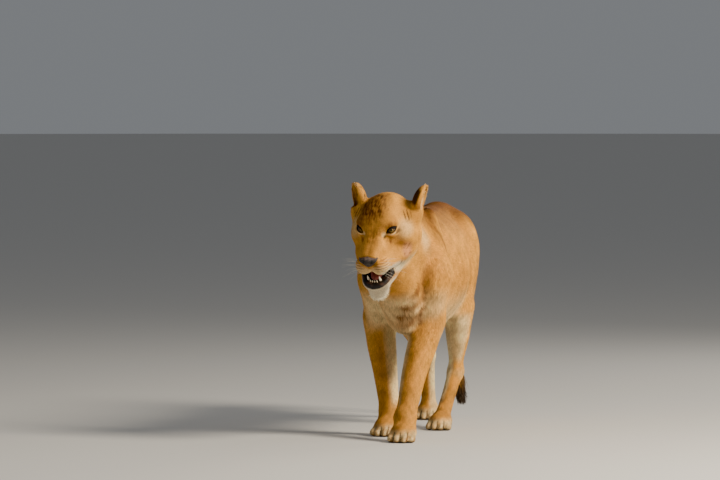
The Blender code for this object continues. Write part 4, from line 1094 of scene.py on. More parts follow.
def coat_colour(where, normal):
    """The colour of skin and hair at each place, in linear red, green and blue."""
    share = where.head[:, None]
    colour = body_colour(where, normal) * (1 - share) + head_colour(where) * share
    lips = lip_mask(where)
    inside = 1 - smooth(-0.0005, 0.0015, where.mouth)
    x, y, z = where.h.T
    cleft = 1 - smooth(0.0012, 0.0030, np.hypot(x, (y + 0.215) * 0.35))
    cleft = cleft * smooth(-0.052, -0.046, z) * (1 - smooth(-0.030, -0.022, z))
    colour = paint(
        ear_colour(colour, where),
        (lips, BLACK),
        (0.07 * lips * smooth(-0.5, 1.5, ripple(where.p, 0.020, 18)), PINK),
        (where.nose, BLACK),
        (inside * (y > -0.170), GUM),
        (0.8 * cleft * (where.j[:, 2] > -0.02), UMBER),
    )
    return np.clip(colour, 0.004, 1)


skin_normals = slope_of(skin_measure, skin_points)
skin_normals /= np.linalg.norm(skin_normals, axis=1)[:, None]
skin_places = Places(skin_points)
skin_colour = coat_colour(skin_places, skin_normals)
print("mean colour of the skin", np.round(skin_colour.mean(0), 3))

# %% [markdown]
# # Finishes
# The skin's colour is stored on its points. A material adds what is finer than a point: a speckle
# that makes the stored colour a little darker and lighter, a soft bump, and a gloss. On the lips
# and the gums a second stored value, the wetness, lowers the roughness.

# %% Materials in the stored colours
class Finish:
    """A material, with short ways to add a node to it and to link two sockets."""

    def __init__(self, name, **sockets):
        self.material = bpy.data.materials.new(name)
        self.material.use_nodes = True
        self.tree = self.material.node_tree
        self.shader = self.tree.nodes["Principled BSDF"]
        self.object = self.add("ShaderNodeTexCoord").outputs["Object"]
        set_values(self.shader, **sockets)

    def add(self, kind, **values):
        node = self.tree.nodes.new(kind)
        set_values(node, **values)
        return node

    def link(self, source, target):
        self.tree.links.new(source, target)

    def stored(self, name, output):
        return self.add("ShaderNodeAttribute", attribute_name=name).outputs[output]

    def noise(self, scale, detail=3.0):
        node = self.add("ShaderNodeTexNoise", Scale=scale, Detail=detail)
        self.link(self.object, node.inputs["Vector"])
        return node.outputs["Fac"]

    def ranged(self, value, low, high, to_low, to_high):
        node = self.add("ShaderNodeMapRange", From_Min=low, From_Max=high, To_Min=to_low,
                        To_Max=to_high)
        self.link(value, node.inputs["Value"])
        return node.outputs["Result"]

    def speckle(self, scale, low, high, detail=3.0, colour=None):
        """The stored colour, or a plain one, times a fine noise between low and high."""
        if colour:
            plain = self.add("ShaderNodeRGB")
            plain.outputs["Color"].default_value = (*colour, 1)
        node = self.add("ShaderNodeMix", data_type="RGBA", blend_type="MULTIPLY", Factor=1)
        base = plain.outputs["Color"] if colour else self.stored("markings", "Color")
        self.link(base, node.inputs["A"])
        self.link(self.ranged(self.noise(scale, detail), 0.3, 0.7, low, high), node.inputs["B"])
        self.link(node.outputs["Result"], self.shader.inputs["Base Color"])

    def bump(self, height, distance, strength):
        node = self.add("ShaderNodeBump", Strength=strength, Distance=distance)
        self.link(height, node.inputs["Height"])
        self.link(node.outputs["Normal"], self.shader.inputs["Normal"])


def skin_material():
    made = Finish("skin_under_the_coat", Specular_IOR_Level=0.35)
    made.speckle(420.0, 0.80, 1.12)
    made.link(made.ranged(made.stored("wet", "Fac"), 0, 1, 0.80, 0.34),
              made.shader.inputs["Roughness"])
    made.bump(made.noise(650.0, 4.0), 0.0008, 0.6)
    return made.material


def unwrap(obj):
    """Flattens the skin into islands that each face one way, in a map named OFBake."""
    obj.data.uv_layers.new(name="OFBake")
    bpy.context.view_layer.objects.active = obj
    obj.select_set(True)
    bpy.ops.object.mode_set(mode="EDIT")
    bpy.ops.mesh.select_all(action="SELECT")
    bpy.ops.uv.smart_project(angle_limit=math.radians(66), island_margin=0.001)
    bpy.ops.object.mode_set(mode="OBJECT")
    obj.select_set(False)


store(skin.data, "markings", skin_colour)
store(skin.data, "wet", np.maximum(lip_mask(skin_places), 1 - smooth(0.0, 0.002, skin_places.mouth)))
skin.data.materials.append(skin_material())
unwrap(skin)
print("skin unwrapped and painted")

# %% [markdown]
# # Which way the hair lies
# Hair lies like water running off the nose: back over the head, down the neck and the limbs,
# along the flanks and down the tail. A few more lines are drawn for the trunk and the head, beside
# the bone lines kept above. At each point of the skin, the direction is the average of all these
# lines, where a near one counts far more than a distant one, pressed flat onto the skin.

# %% More lines to comb along
MIDDLE_LINES = (  # the back, the throat and the belly
    ((0, -0.62, 0.90), (0, -0.40, 0.89), (0, -0.1, 0.865), (0, 0.25, 0.86), (0, 0.50, 0.85),
     (0, 0.62, 0.80)),
    ((0, -0.74, 0.66), (0, -0.60, 0.58), (0, -0.50, 0.47), (0, -0.40, 0.41)),
    ((0, -0.36, 0.42), (0, 0.0, 0.41), (0, 0.30, 0.47), (0, 0.50, 0.52)),
)
SIDE_LINES = (  # each with its frame, on her left; a mirrored one lies on her right
    (WORLD, ((0.15, -0.30, 0.75), (0.165, 0.0, 0.74), (0.155, 0.30, 0.74), (0.12, 0.55, 0.72))),
    (WORLD, ((0.15, -0.30, 0.60), (0.17, 0.05, 0.56), (0.14, 0.22, 0.56))),
    (WORLD, ((0.10, -0.66, 0.78), (0.125, -0.50, 0.74), (0.15, -0.42, 0.70))),
    (WORLD, ((0.11, -0.40, 0.80), (0.15, -0.43, 0.66), (0.13, -0.36, 0.48))),
    (HEAD, ((0.0, -0.21, 0.012), (0.0, -0.12, 0.055), (0.0, -0.03, 0.10), (0.0, 0.06, 0.118),
            (0.0, 0.14, 0.09))),
    (HEAD, ((0.05, -0.10, 0.045), (0.06, -0.03, 0.09), (0.07, 0.05, 0.10))),
    (HEAD, ((0.035, -0.20, -0.03), (0.06, -0.12, -0.03), (0.10, -0.03, -0.01),
            (0.115, 0.05, -0.03), (0.11, 0.12, -0.06))),
    (HEAD, ((0.02, -0.215, -0.055), (0.05, -0.16, -0.07), (0.075, -0.07, -0.075))),
    (JAW, ((0.0, -0.205, -0.09), (0.0, -0.17, -0.135), (0.0, -0.08, -0.12), (0.0, 0.0, -0.12))),
    (JAW, ((0.035, -0.17, -0.09), (0.055, -0.08, -0.09), (0.075, 0.0, -0.10))),
)
for line in MIDDLE_LINES:
    comb(line, 0.0)
for (inside, line), side in product(SIDE_LINES, (LEFT, RIGHT)):
    comb([inside @ Vector((side * x, y, z)) for x, y, z in line], 0.0)


def lie_of(points, normals):
    """The direction of the hair: the mean of all combs' directions, weighed by 1 / distance^4."""
    total = np.zeros_like(points)
    for line, thickness in COMBS:
        for start, end in zip(line[:-1], line[1:]):
            span = end - start
            length = np.linalg.norm(span)
            t = np.clip((points - start) @ span / length**2, 0, 1)
            gap = np.linalg.norm(points - start - t[:, None] * span, axis=1) - thickness
            total += (1 / (np.maximum(gap, 0) + 0.012) ** 4)[:, None] * span / length
    total -= (total * normals).sum(1)[:, None] * normals
    return total / np.maximum(np.linalg.norm(total, axis=1), TINY)[:, None]


skin_lie = lie_of(skin_points, skin_normals)
print(len(COMBS), "combs")

# %% [markdown]
# # The coat
# A tuft is a leaf of three triangles: two points at the root, one on the ridge and one at the tip.
# It leans from the skin to just inside the coat's outline. The tufts are sown over the skin's
# faces, more closely where they are short, and each carries the colour of the skin at its root, a
# little darker at the root than at the tip. Its patch in the OFBake map lies where its root is.

# %% Sowing and growing
LEAVES = 455_000
GOLDEN = np.array((0.7548776662, 0.5698402910))  # steps that never fall in line, for even sowing
PATCH = 0.0015
random = np.random.default_rng(7)


def hair_length(where):
    """Hair is 16 mm on the body, 11 on the legs, 6 on the paws and from 3 to 9 on the head."""
    p, h, t = where.p, where.h, where.twin
    length = 0.016 - 0.0050 * (1 - smooth(0.25, 0.45, p[:, 2])) - 0.005 * where.paw
    length = length + 0.008 * hump(p, (0, 0.05, 0.44), (0.12, 0.30, 0.09), 0.4)
    length = length + 0.005 * hump(p, (0, -0.50, 0.50), (0.12, 0.14, 0.16), 0.4)
    face = 0.0042 + 0.0050 * smooth(-0.10, 0.10, h[:, 1])
    face = face - 0.0014 * (1 - smooth(0.004, 0.020, where.eye))
    face = face + 0.0060 * hump(t, (0.085, 0.02, -0.11), (0.06, 0.09, 0.07), 0.3)
    face = face + 0.0090 * hump(where.j, (0, -0.155, -0.125), (0.055, 0.06, 0.045), 0.4)
    return length + (face - length) * where.head


def bare_mask(where):
    """1 where no hair grows: lips, nose leather, lid rims, the mouth and the soles."""
    return np.maximum.reduce([
        lip_mask(where),
        smooth(0.45, 0.7, where.nose),
        1 - smooth(0.0015, 0.0030, where.mouth),
        1 - smooth(0.0015, 0.0035, slit_distance(where)[0]),
        1 - smooth(0.002, 0.008, where.p[:, 2]),
    ])


skin_corners = np.concatenate([skin_squares, join_triangles[:, [0, 1, 2, 2]]])
skin_loops = np.arange(4 * len(skin_squares)).reshape(-1, 4)
join_loops = np.arange(3 * len(join_triangles)).reshape(-1, 3)[:, [0, 1, 2, 2]]
skin_loops = np.concatenate([skin_loops, 4 * len(skin_squares) + join_loops])
flat = np.empty(2 * len(skin.data.loops))
skin.data.uv_layers["OFBake"].data.foreach_get("uv", flat)
skin_flat = flat.reshape(-1, 2)


def unit(vectors):
    """The same directions, each of length 1."""
    return vectors / np.maximum(np.linalg.norm(vectors, axis=-1), TINY)[..., None]


class Roots:
    """Places on the skin where something grows, with all that a hair needs to know there."""

    def __init__(self, faces, within):
        a, b = within.T
        share = np.stack([(1 - a) * (1 - b), a * (1 - b), a * b, (1 - a) * b], axis=1)[:, :, None]
        corners = skin_corners[faces]
        self.p = (skin_points[corners] * share).sum(1)
        self.normal = unit((skin_normals[corners] * share).sum(1))
        lie = (skin_lie[corners] * share).sum(1)
        self.lie = unit(lie - (lie * self.normal).sum(1)[:, None] * self.normal)
        self.flat = (skin_flat[skin_loops[faces]] * share).sum(1)
        self.where = Places(self.p)

    def kept(self, chosen):
        """The same for some of the places."""
        some = object.__new__(Roots)
        for name in ("p", "normal", "lie", "flat"):
            setattr(some, name, getattr(self, name)[chosen])
        some.where = Places(some.p)
        return some

    def swerved(self, degrees):
        """The lie of the hair, turned on the skin by so many degrees at each place."""
        turn = np.radians(degrees)[:, None]
        return self.lie * np.cos(turn) + np.cross(self.normal, self.lie) * np.sin(turn)


def sown(weight, total):
    """About a total number of roots, spread over the skin's faces in proportion to a weight."""
    corner = skin_points[skin_corners]
    spans = np.cross(corner[:, 2] - corner[:, 0], corner[:, 3] - corner[:, 1])
    area = np.linalg.norm(spans, axis=1) / 2
    share = area * weight(Places(corner.mean(1)))
    count = (share * total / share.sum() + random.random(len(area))).astype(int)
    faces = np.repeat(np.arange(len(area)), count)
    return Roots(faces, np.mod(0.5 + np.arange(1, len(faces) + 1)[:, None] * GOLDEN, 1))


def closeness(where):
    """Short hair stands closer, so that the coat covers the skin as well everywhere."""
    length = hair_length(where)
    return (1 - bare_mask(where)) / (length * (0.0007 + 0.09 * length))


roots = sown(closeness, LEAVES)
roots = roots.kept(bare_mask(roots.where) < 0.5)
print(len(roots.p), "tufts are sown")

# %% Tufts
LEAF = np.array(((0, 1, 2), (1, 3, 2), (3, 0, 2)))
LEAF_PATCH = PATCH * np.array(((-1, -1), (1, -1), (0, 0), (0, 1)))
LEAF_SHADE = np.array((0.86, 0.86, 1.0, 1.09))


def grown(roots, length, width, height, swerve, ridge=0.16):
    """Four points for each tuft: root left, root right, ridge and tip. The tip is brought to a
    set height over the skin, so a tuft follows the body's curve instead of sticking out."""
    lie = roots.swerved(swerve)
    base = roots.p - 0.0003 * roots.normal
    tip = roots.p + lie * length[:, None] + roots.normal * height[:, None]
    tip += roots.normal * np.clip(height - skin_measure(tip), -length, length)[:, None]
    crest = base + 0.42 * (tip - base) + roots.normal * (0.35 * height + ridge * width)[:, None]
    half = 0.5 * width[:, None] * np.cross(lie, roots.normal)
    return np.stack([base - half, base + half, crest, tip], axis=1)


def repeated(groups, count, each):
    """The faces of one shape of so many points, counted on for each of its copies."""
    first = (np.arange(count) * each)[:, None, None]
    return tuple((group + first).reshape(-1, group.shape[1]) for group in groups)


def leaves(name, points, roots, colour, material):
    """One piece of the coat: the tufts' mesh, their colours and their patches."""
    faces = repeated((LEAF,), len(points), 4)
    points = points.reshape(-1, 3)
    points[:, 2] = np.maximum(points[:, 2], SOLE)
    shaded = (colour[:, None, :] * LEAF_SHADE[:, None]).reshape(-1, 3)
    patches = (roots.flat[:, None, :] + LEAF_PATCH).reshape(-1, 2)
    return piece_of(name, points, faces, material, shaded, patches)


def hair_material(name, roughness):
    """Hair takes the stored colour, with a soft sheen like the light between many fine hairs."""
    made = Finish(name, Roughness=roughness, Specular_IOR_Level=0.12, Sheen_Weight=0.02,
                  Sheen_Roughness=0.45)
    made.speckle(900.0, 0.86, 1.10, detail=2.0)
    return made.material


def region_names(p, on_head):
    """A name for each root's part of the body, none of them too large for one piece."""
    x, y, z = p.T
    left = x > -0.02 + 0.02 * smooth(-0.7, -0.5, y)
    sides = np.where(left, "left", "right")
    part = np.select([y > 0.16, y < -0.24], ["coat_rump_", "coat_shoulder_"], "coat_flank_")
    part = np.where(on_head > 0.5, "coat_head_", part)
    named = np.char.add(part, sides)
    low = (z < 0.40) & (on_head <= 0.5)
    named[low] = np.where(y[low] > 0, "coat_hind_legs", "coat_forelegs")
    named[(on_head > 0.5) & (local(p, HEAD)[:, 1] < -0.075)] = "coat_face"
    return named


count = len(roots.p)
length = hair_length(roots.where) * random.uniform(0.75, 1.20, count)
width = 0.0008 + 0.10 * length
height = coat_depth(roots.where) * random.uniform(0.55, 0.95, count)
swerve = 11 * random.normal(size=count) + 9 * ripple(roots.p, 0.045, 21)
tuft_points = grown(roots, length, width, height, swerve)
tuft_colour = coat_colour(roots.where, roots.normal) * (1 + 0.14 * random.normal(size=(count, 1)))
tuft_colour = np.clip(tuft_colour, 0.004, 0.95)
coat_material = hair_material("short_coat", 0.62)
named = region_names(roots.p, roots.where.head)
for name in np.unique(named):
    chosen = named == name
    leaves(str(name), tuft_points[chosen], roots.kept(chosen), tuft_colour[chosen], coat_material)
    print(name, int(chosen.sum()), "tufts")

# %% [markdown]
# # Eyes
# Each eyeball is a ball whose rings run round the line of sight, so that the pupil, the iris and
# its dark edge are rings of points with their own colours. The clear cornea in front bulges a
# little. The iris is streaked from the pupil outwards, by waves that depend only on the angle
# round the line of sight. A gloss over the colour stands for the tear film.

# %% Eyeballs
EYE_ROUNDS, EYE_RINGS = 96, 64
PUPIL, IRIS = 0.0036, 0.0108
SCLERA = (0.16, 0.10, 0.07)
AMBER = np.array((0.170, 0.092, 0.020))
OLIVE = np.array((0.080, 0.070, 0.020))
GAZES = ((LEFT, "left", 20), (RIGHT, "right", 8))  # degrees outwards of the head's own front
GAZE_UP = math.radians(31)


def closed_grid(u_count, v_count):
    """Squares of a tube of v rings with u points each, and triangles that close its two ends on
    two more points."""
    ids = np.arange(u_count * v_count).reshape(v_count, u_count)
    after = np.roll(ids, -1, axis=1)
    squares = np.stack([ids[:-1], after[:-1], after[1:], ids[1:]], axis=-1).reshape(-1, 4)
    low = np.stack([after[0], ids[0], np.full(u_count, ids.size)], axis=1)
    high = np.stack([ids[-1], after[-1], np.full(u_count, ids.size + 1)], axis=1)
    return squares, np.concatenate([low, high])


def eyeball():
    """A ball in the formula x = R(a) sin a cos b, z = R(a) sin a sin b, y = -R(a) cos a, where a
    runs from the line of sight to the back and b runs round it. Its colours come with it."""
    a = np.linspace(0, math.pi, EYE_RINGS + 1)[1:-1, None]
    a = a**1.5 / math.pi**0.5  # closer rings in front
    b = np.linspace(0, 2 * math.pi, EYE_ROUNDS, endpoint=False)[None, :]
    bulge = 0.0012 * (1 - smooth(0.0, IRIS * 1.15, EYE_RADIUS * np.sin(a))) * (a < 1.5)
    radius = EYE_RADIUS * 0.972 + bulge
    x, z = radius * np.sin(a) * np.cos(b), radius * np.sin(a) * np.sin(b)
    ball = np.stack([x, -radius * np.cos(a) + 0 * b, z], axis=-1).reshape(-1, 3)
    points = np.concatenate([ball, [[0, -radius[0, 0], 0]], [[0, radius[-1, 0], 0]]])
    out = np.hypot(points[:, 0], points[:, 2])
    turn = np.arctan2(points[:, 2], points[:, 0])
    ahead = points[:, 1] < 0
    streak = np.sin(turn * 23 + 1.3 * np.sin(turn * 5)) + np.sin(turn * 41 + 2 * np.sin(turn * 3))
    inner = 0.45 * (1 - smooth(PUPIL, IRIS * 0.75, out))[:, None]
    iris = AMBER * (1 + 0.16 * streak[:, None]) * (1 - inner) + OLIVE * inner
    ring = smooth(IRIS * 0.82, IRIS * 0.98, out) * (1 - smooth(IRIS, IRIS * 1.18, out))
    pupil = 1 - smooth(PUPIL * 0.9, PUPIL * 1.1, out)
    colour = np.where(((out < IRIS) & ahead)[:, None], iris, SCLERA)
    colour = paint(colour, (0.96 * ring * ahead, BLACK), (pupil * ahead, (0.002,) * 3))
    squares, caps = closed_grid(EYE_ROUNDS, EYE_RINGS - 1)
    # These rings run the other way round, so each face is turned over.
    return points, (squares[:, [0, 3, 2, 1]], caps[:, [1, 0, 2]]), np.clip(colour, 0, 1)


def wet_material(name, roughness, coat, scale, grain=0, **sockets):
    """A wet surface with stored colours, a clear film over it, and perhaps a grain beneath."""
    made = Finish(name, Roughness=roughness, Coat_Weight=coat, Coat_Roughness=0.04, **sockets)
    made.speckle(scale, 0.85, 1.12)
    if grain:
        made.bump(made.noise(scale), grain, 0.7)
    return made.material


eye_points, eye_faces, eye_colours = eyeball()
eye_material = wet_material("eye_under_tears", 0.50, 0.40, 700.0, Specular_IOR_Level=0.08)
for side, word, outward in GAZES:
    place = HEAD @ Matrix.Translation((side * EYE_PLACE.x, EYE_PLACE.y, EYE_PLACE.z))
    turned = in_frame(eye_points, place @ look_matrix(math.radians(outward), GAZE_UP))
    piece_of("eyeball_" + word, turned, eye_faces, eye_material, eye_colours,
             replaced=("eye_" + word,))
print("eyes look ahead")

# %% [markdown]
# # Nose
# The nose leather is the same formula once more, kept only inside a shield-shaped region: broad
# across the top, drawn in below the nostrils to the cleft of the lip. Its edge is rounded off so
# that it sinks into the skin. The surface of leather is a net of tiny pebbles, made by cells in
# the bump.

# %% Nose leather
NOSE_CELL = 0.0011
NOSE_REACH = 0.046
NOSE_EDGE = 0.003  # how broadly the leather's edge is rounded off


def shield(h):
    """The distance to the region of the leather, in the head's frame."""
    x, y, z = np.abs(h[:, 0]), h[:, 1], h[:, 2]
    lower = x * 0.70 - z * 0.71 - 0.0250  # the slanting sides below the nostrils
    top = z * 0.97 + x * 0.20 - 0.0165
    return np.maximum.reduce([lower, top, x - 0.0385, -z - 0.0250, y + 0.1920])


def nose_measure(points):
    """The outline's distance, rounded off to the edge of the shield."""
    a, b = outline.measure(points) + 0.0003, shield(local(points, HEAD))
    share = np.maximum(NOSE_EDGE - np.abs(a - b), 0) / NOSE_EDGE
    return np.maximum(a, b) + share**2 * NOSE_EDGE / 4


def leather_material():
    made = Finish("nose_leather_skin", Specular_IOR_Level=0.6)
    made.link(made.stored("markings", "Color"), made.shader.inputs["Base Color"])
    cells = made.add("ShaderNodeTexVoronoi", feature="DISTANCE_TO_EDGE", Scale=620.0)
    made.link(made.object, cells.inputs["Vector"])
    made.bump(made.ranged(cells.outputs["Distance"], 0.0, 0.25, 0, 1), 0.0005, 0.9)
    made.link(made.ranged(made.noise(160.0), 0.35, 0.65, 0.34, 0.52), made.shader.inputs["Roughness"])
    return made.material


nose_middle = np.array(HEAD @ Vector((0, -0.212, -0.004)))
nose_points, nose_squares = nets(nose_measure, nose_middle - NOSE_REACH, nose_middle + NOSE_REACH,
                                 NOSE_CELL)
nose_points = settle(nose_measure, nose_points, 1, 0.001)
h = local(nose_points, HEAD)
# painted highlight: the top of the leather lighter
nose_top_highlight = smooth(0.002, 0.013, h[:, 2]) * (0.6 + 0.3 * ripple(h, 0.010, 31))
# painted shade deep inside the nostrils
nostril_shade = hump(np.abs(h), (0.0160, 0.2170, 0.0040), (0.0090, 0.012, 0.0060), 0.5)
nose_colour = paint(
    (0.014, 0.010, 0.009),
    (0.60 * nose_top_highlight, (0.200, 0.110, 0.085)),
    (nostril_shade, (0.003, 0.002, 0.002)),
)
piece_of("nose_leather", nose_points, (nose_squares,), leather_material(),
         np.clip(nose_colour, 0.002, 1), replaced=("nose",))
print("nose leather of", len(nose_squares), "squares")

# %% [markdown]
# # Tongue and teeth
# The tongue is a flat oval with a furrow down its middle, lying on the floor of the jaw. Teeth are
# cones that curve: each ring of the cone is moved back in proportion to the square of its height.

# %% Tongue and lower teeth
TONGUE = placed((0, -0.106, -0.064), (math.radians(-4), 0, 0), JAW)
TONGUE_RADII = (0.030, 0.062, 0.011)
TONGUE_ROUND, TONGUE_RINGS = 40, 44
LOWER_TEETH = (  # x, y, radius and height, on her left; each has a twin on her right
    (0.0240, -0.1660, 0.0052, 0.029),
    (0.0135, -0.1745, 0.0034, 0.017),
    (0.0047, -0.1765, 0.0032, 0.016),
)
TOOTH_ROUND, TOOTH_RINGS = 20, 12
TOOTH_FOOT = -0.067
TOOTH_CURVE = 0.13  # how far the tip stands back, as a share of the height


def tongue_piece():
    """Rings across the tongue, from its root at the back to its tip."""
    u = np.linspace(0, 2 * math.pi, TONGUE_ROUND, endpoint=False)[None, :]
    t = np.linspace(0.02, 0.98, TONGUE_RINGS)[:, None]
    across = np.sin(math.pi * t) ** 0.42
    reach = TONGUE_RADII[1] * 0.985
    x = 0.97 * TONGUE_RADII[0] * across * np.cos(u)
    z = 0.92 * TONGUE_RADII[2] * across * np.sin(u)
    furrow = 0.0030 * np.exp(-((x / 0.0045) ** 2)) * (np.sin(u) > 0) * across
    points = np.stack([x, reach * (1 - 2 * t) + 0 * u, z - furrow], axis=-1).reshape(-1, 3)
    points = np.concatenate([points, [[0, reach, 0], [0, -reach, 0]]])
    colour = paint(
        # a dark red: the tongue's own red darkened by painted shade under the upper jaw
        (0.200, 0.040, 0.032),
        # painted shade, darker still towards the back of the mouth
        (smooth(-0.02, 0.04, points[:, 1]), (0.080, 0.018, 0.016)),
        (0.20 + 0.2 * ripple(points, 0.012, 32), (0.33, 0.11, 0.09)),
    )
    piece_of("tongue_surface", in_frame(points, TONGUE),
             closed_grid(TONGUE_ROUND, TONGUE_RINGS),
             wet_material("wet_tongue", 0.42, 0.35, 1400.0, 0.0006), np.clip(colour, 0, 1),
             replaced=("tongue",))


def tooth(x, y, radius, height):
    """A curved cone, closed at both ends, in the jaw's frame."""
    u = np.linspace(0, 2 * math.pi, TOOTH_ROUND, endpoint=False)[None, :]
    t = np.linspace(0, 0.97, TOOTH_RINGS)[:, None]
    r = radius * (1 - t**1.9) ** 0.75
    back = TOOTH_CURVE * height * t**2
    points = np.stack([r * np.cos(u), r * 1.15 * np.sin(u) + back, height * t + 0 * u], axis=-1)
    ends = [[0, 0, 0], [0, TOOTH_CURVE * height, height]]
    return np.concatenate([points.reshape(-1, 3), ends]) + (x, y, TOOTH_FOOT)


def teeth_piece():
    """All the teeth as one piece, darker at their feet."""
    teeth = [tooth(side * x, *rest) for x, *rest in LOWER_TEETH for side in (LEFT, RIGHT)]
    points = np.concatenate(teeth)
    colour = paint(
        (0.78, 0.70, 0.54),
        (1 - smooth(0.006, 0.014, points[:, 2] - TOOTH_FOOT), (0.46, 0.30, 0.15)),
    )
    faces = repeated(closed_grid(TOOTH_ROUND, TOOTH_RINGS), len(teeth), len(teeth[0]))
    piece_of("lower_teeth", in_frame(points, JAW), faces,
             wet_material("enamel", 0.28, 0.3, 300.0), colour)


tongue_piece()
teeth_piece()
print("tongue and", 2 * len(LOWER_TEETH), "teeth")

# %% [markdown]
# # Long hair
# The tuft at the tail's end, the beard, the fringes and the hair in the ears are locks: strips
# that taper to a point, folded along a ridge so that they catch light like a bundle of hairs. A
# lock's middle line is the curve root + L t d + L t t b, where d is the way it starts and b is how
# it bends, and t runs from 0 to 1. Locks are rooted by the same sowing as the tufts.

# %% Locks
def locks(name, roots, along, bend, length, width, colour, material, stations=3,
          replaced=()):
    """One piece of locks. Each has three points at every station, and one more at its tip."""
    t = (np.arange(stations) / stations)[:, None]
    long = length[:, None, None]
    middle = roots.p[:, None] - 0.001 * roots.normal[:, None]
    middle = middle + long * t * along[:, None] + long * t**2 * bend[:, None]
    way = along[:, None] + 2 * t * bend[:, None]
    side = unit(np.cross(way, roots.normal[:, None]))
    out = unit(np.cross(side, way))
    half = 0.5 * width[:, None, None] * (1 - t**1.6) ** 0.8
    rows = np.stack([middle - half * side, middle + 0.55 * half * out, middle + half * side], axis=2)
    ends = roots.p + length[:, None] * (along + bend)
    points = np.concatenate([rows.reshape(len(rows), -1, 3), ends[:, None]], axis=1)
    each = points.shape[1]
    points = points.reshape(-1, 3)
    points[:, 2] = np.maximum(points[:, 2], SOLE)
    strip = np.array([(3 * i + j, 3 * i + j + 1, 3 * i + j + 4, 3 * i + j + 3)
                      for i, j in product(range(stations - 1), (0, 1))])
    cap = np.array([(each - 4, each - 3, each - 1), (each - 3, each - 2, each - 1)])
    shade = np.append(np.repeat(np.linspace(0.75, 1.25, stations), 3), 1.25)
    shaded = np.clip(colour[:, None] * shade[:, None], 0.003, 1).reshape(-1, 3)
    u = np.append(np.tile((-1.0, 0.0, 1.0), stations), 0)
    v = np.append(np.repeat(np.linspace(-1, 0.8, stations), 3), 1)
    patches = (roots.flat[:, None] + PATCH * np.stack([u, v], axis=1)).reshape(-1, 2)
    return piece_of(name, points, repeated((strip, cap), len(rows), each), material, shaded,
                    patches, replaced)


def sown_where(mask, total):
    """Roots only where a mask is over a third or so."""
    some = sown(lambda where: mask(where) + 1e-6, total)
    return some.kept(mask(some.where) > 0.3)


def tail_end(where):
    return ((where.p[:, 1] > 0.775) & (where.p[:, 2] < 0.222)).astype(float)


def beard(where):
    chin = hump(where.j, (0, -0.160, -0.132), (0.050, 0.055, 0.036), 0.6)
    return chin * (1 - smooth(0.2, 0.5, lip_mask(where)))


def fringe(where):
    """Behind the elbows and along the belly."""
    return np.maximum.reduce([
        hump(where.p, (0, 0.10, 0.43), (0.11, 0.30, 0.06), 0.5),
        hump(where.p, (0.095, -0.350, 0.440), (0.06, 0.05, 0.07), 0.3),
        hump(where.p, (-0.125, -0.225, 0.440), (0.06, 0.05, 0.07), 0.3),
    ])


def in_ears(where):
    """The front rims of the cups, from which pale hair crosses the hollow."""
    found = np.zeros(len(where.p))
    for cup in EARS:
        e = local(where.p, cup)
        reach = cup_reach(e)
        front = smooth(0.55, 0.75, reach) * (1 - smooth(1.0, 1.1, reach))
        inner = (e[:, 0] < 0.012) & (e[:, 1] < 0.002) & (e[:, 2] > 0.004) & (e[:, 2] < 0.075)
        found = np.maximum(found, front * inner)
    return found


# %% Tail tuft
TAIL_LOCKS = 2600
TUFT_COLOUR = np.array((0.026, 0.017, 0.012))
GREYED = np.array((0.11, 0.085, 0.06))

tail_roots = sown_where(tail_end, TAIL_LOCKS)
count = len(tail_roots.p)
z = tail_roots.p[:, 2]
lean = np.radians(random.uniform(3, 24, count))[:, None]
along = tail_roots.swerved(6 * random.normal(size=count)) * np.cos(lean)
along = along + tail_roots.normal * np.sin(lean)
bend = -0.80 * tail_roots.normal * np.sin(lean) + np.array((0.02, 0.02, -0.05))
length = random.uniform(0.060, 0.110, count)
room = np.maximum(z - 0.056, 0.02)  # down to the tuft's lowest tips
length = np.minimum(length, room * random.uniform(0.85, 1.12, count))
width = random.uniform(0.0025, 0.0045, count)
dark = TUFT_COLOUR * random.uniform(0.6, 1.7, (count, 1))
grey = (random.random(count) < 0.16)[:, None] * (1 - smooth(0.13, 0.20, z))[:, None]
dark = dark + grey * GREYED
upper = smooth(0.175, 0.225, z)[:, None] * random.uniform(0.3, 1.0, (count, 1))
dark = dark * (1 - upper) + np.array(TAN) * 0.5 * upper
locks("tail_tuft_hair", tail_roots, along, bend, length, width, dark,
      hair_material("dark_long_hair", 0.5), 5, ("tail_tuft",))
print(count, "locks on the tail")

# %% Beard, fringes and the hair in the ears
BEARD_LOCKS, FRINGE_LOCKS, EAR_LOCKS = 2300, 5200, 1500
long_material = hair_material("long_hair", 0.55)

beard_roots = sown_where(beard, BEARD_LOCKS)
count = len(beard_roots.p)
along = 0.62 * beard_roots.lie + 0.52 * beard_roots.normal + 0.12 * random.normal(size=(count, 3))
colour = paint(coat_colour(beard_roots.where, beard_roots.normal), (np.full(count, 0.7), WHITE))
locks("beard", beard_roots, along * 0.8, 0.45 * np.array((0.0, 0.05, -0.75)),
      random.uniform(0.010, 0.021, count), random.uniform(0.0012, 0.0022, count),
      colour * random.uniform(0.75, 1.1, (count, 1)), long_material)
print(count, "locks in the beard")

fringe_roots = sown_where(fringe, FRINGE_LOCKS)
count = len(fringe_roots.p)
along = 0.90 * fringe_roots.swerved(9 * random.normal(size=count)) + 0.30 * fringe_roots.normal
colour = coat_colour(fringe_roots.where, fringe_roots.normal) * random.uniform(0.8, 1.2, (count, 1))
locks("fringes", fringe_roots, along, np.tile((0.0, 0.0, -0.22), (count, 1)),
      random.uniform(0.014, 0.026, count), random.uniform(0.0016, 0.0028, count),
      colour, long_material)
print(count, "locks in the fringes")

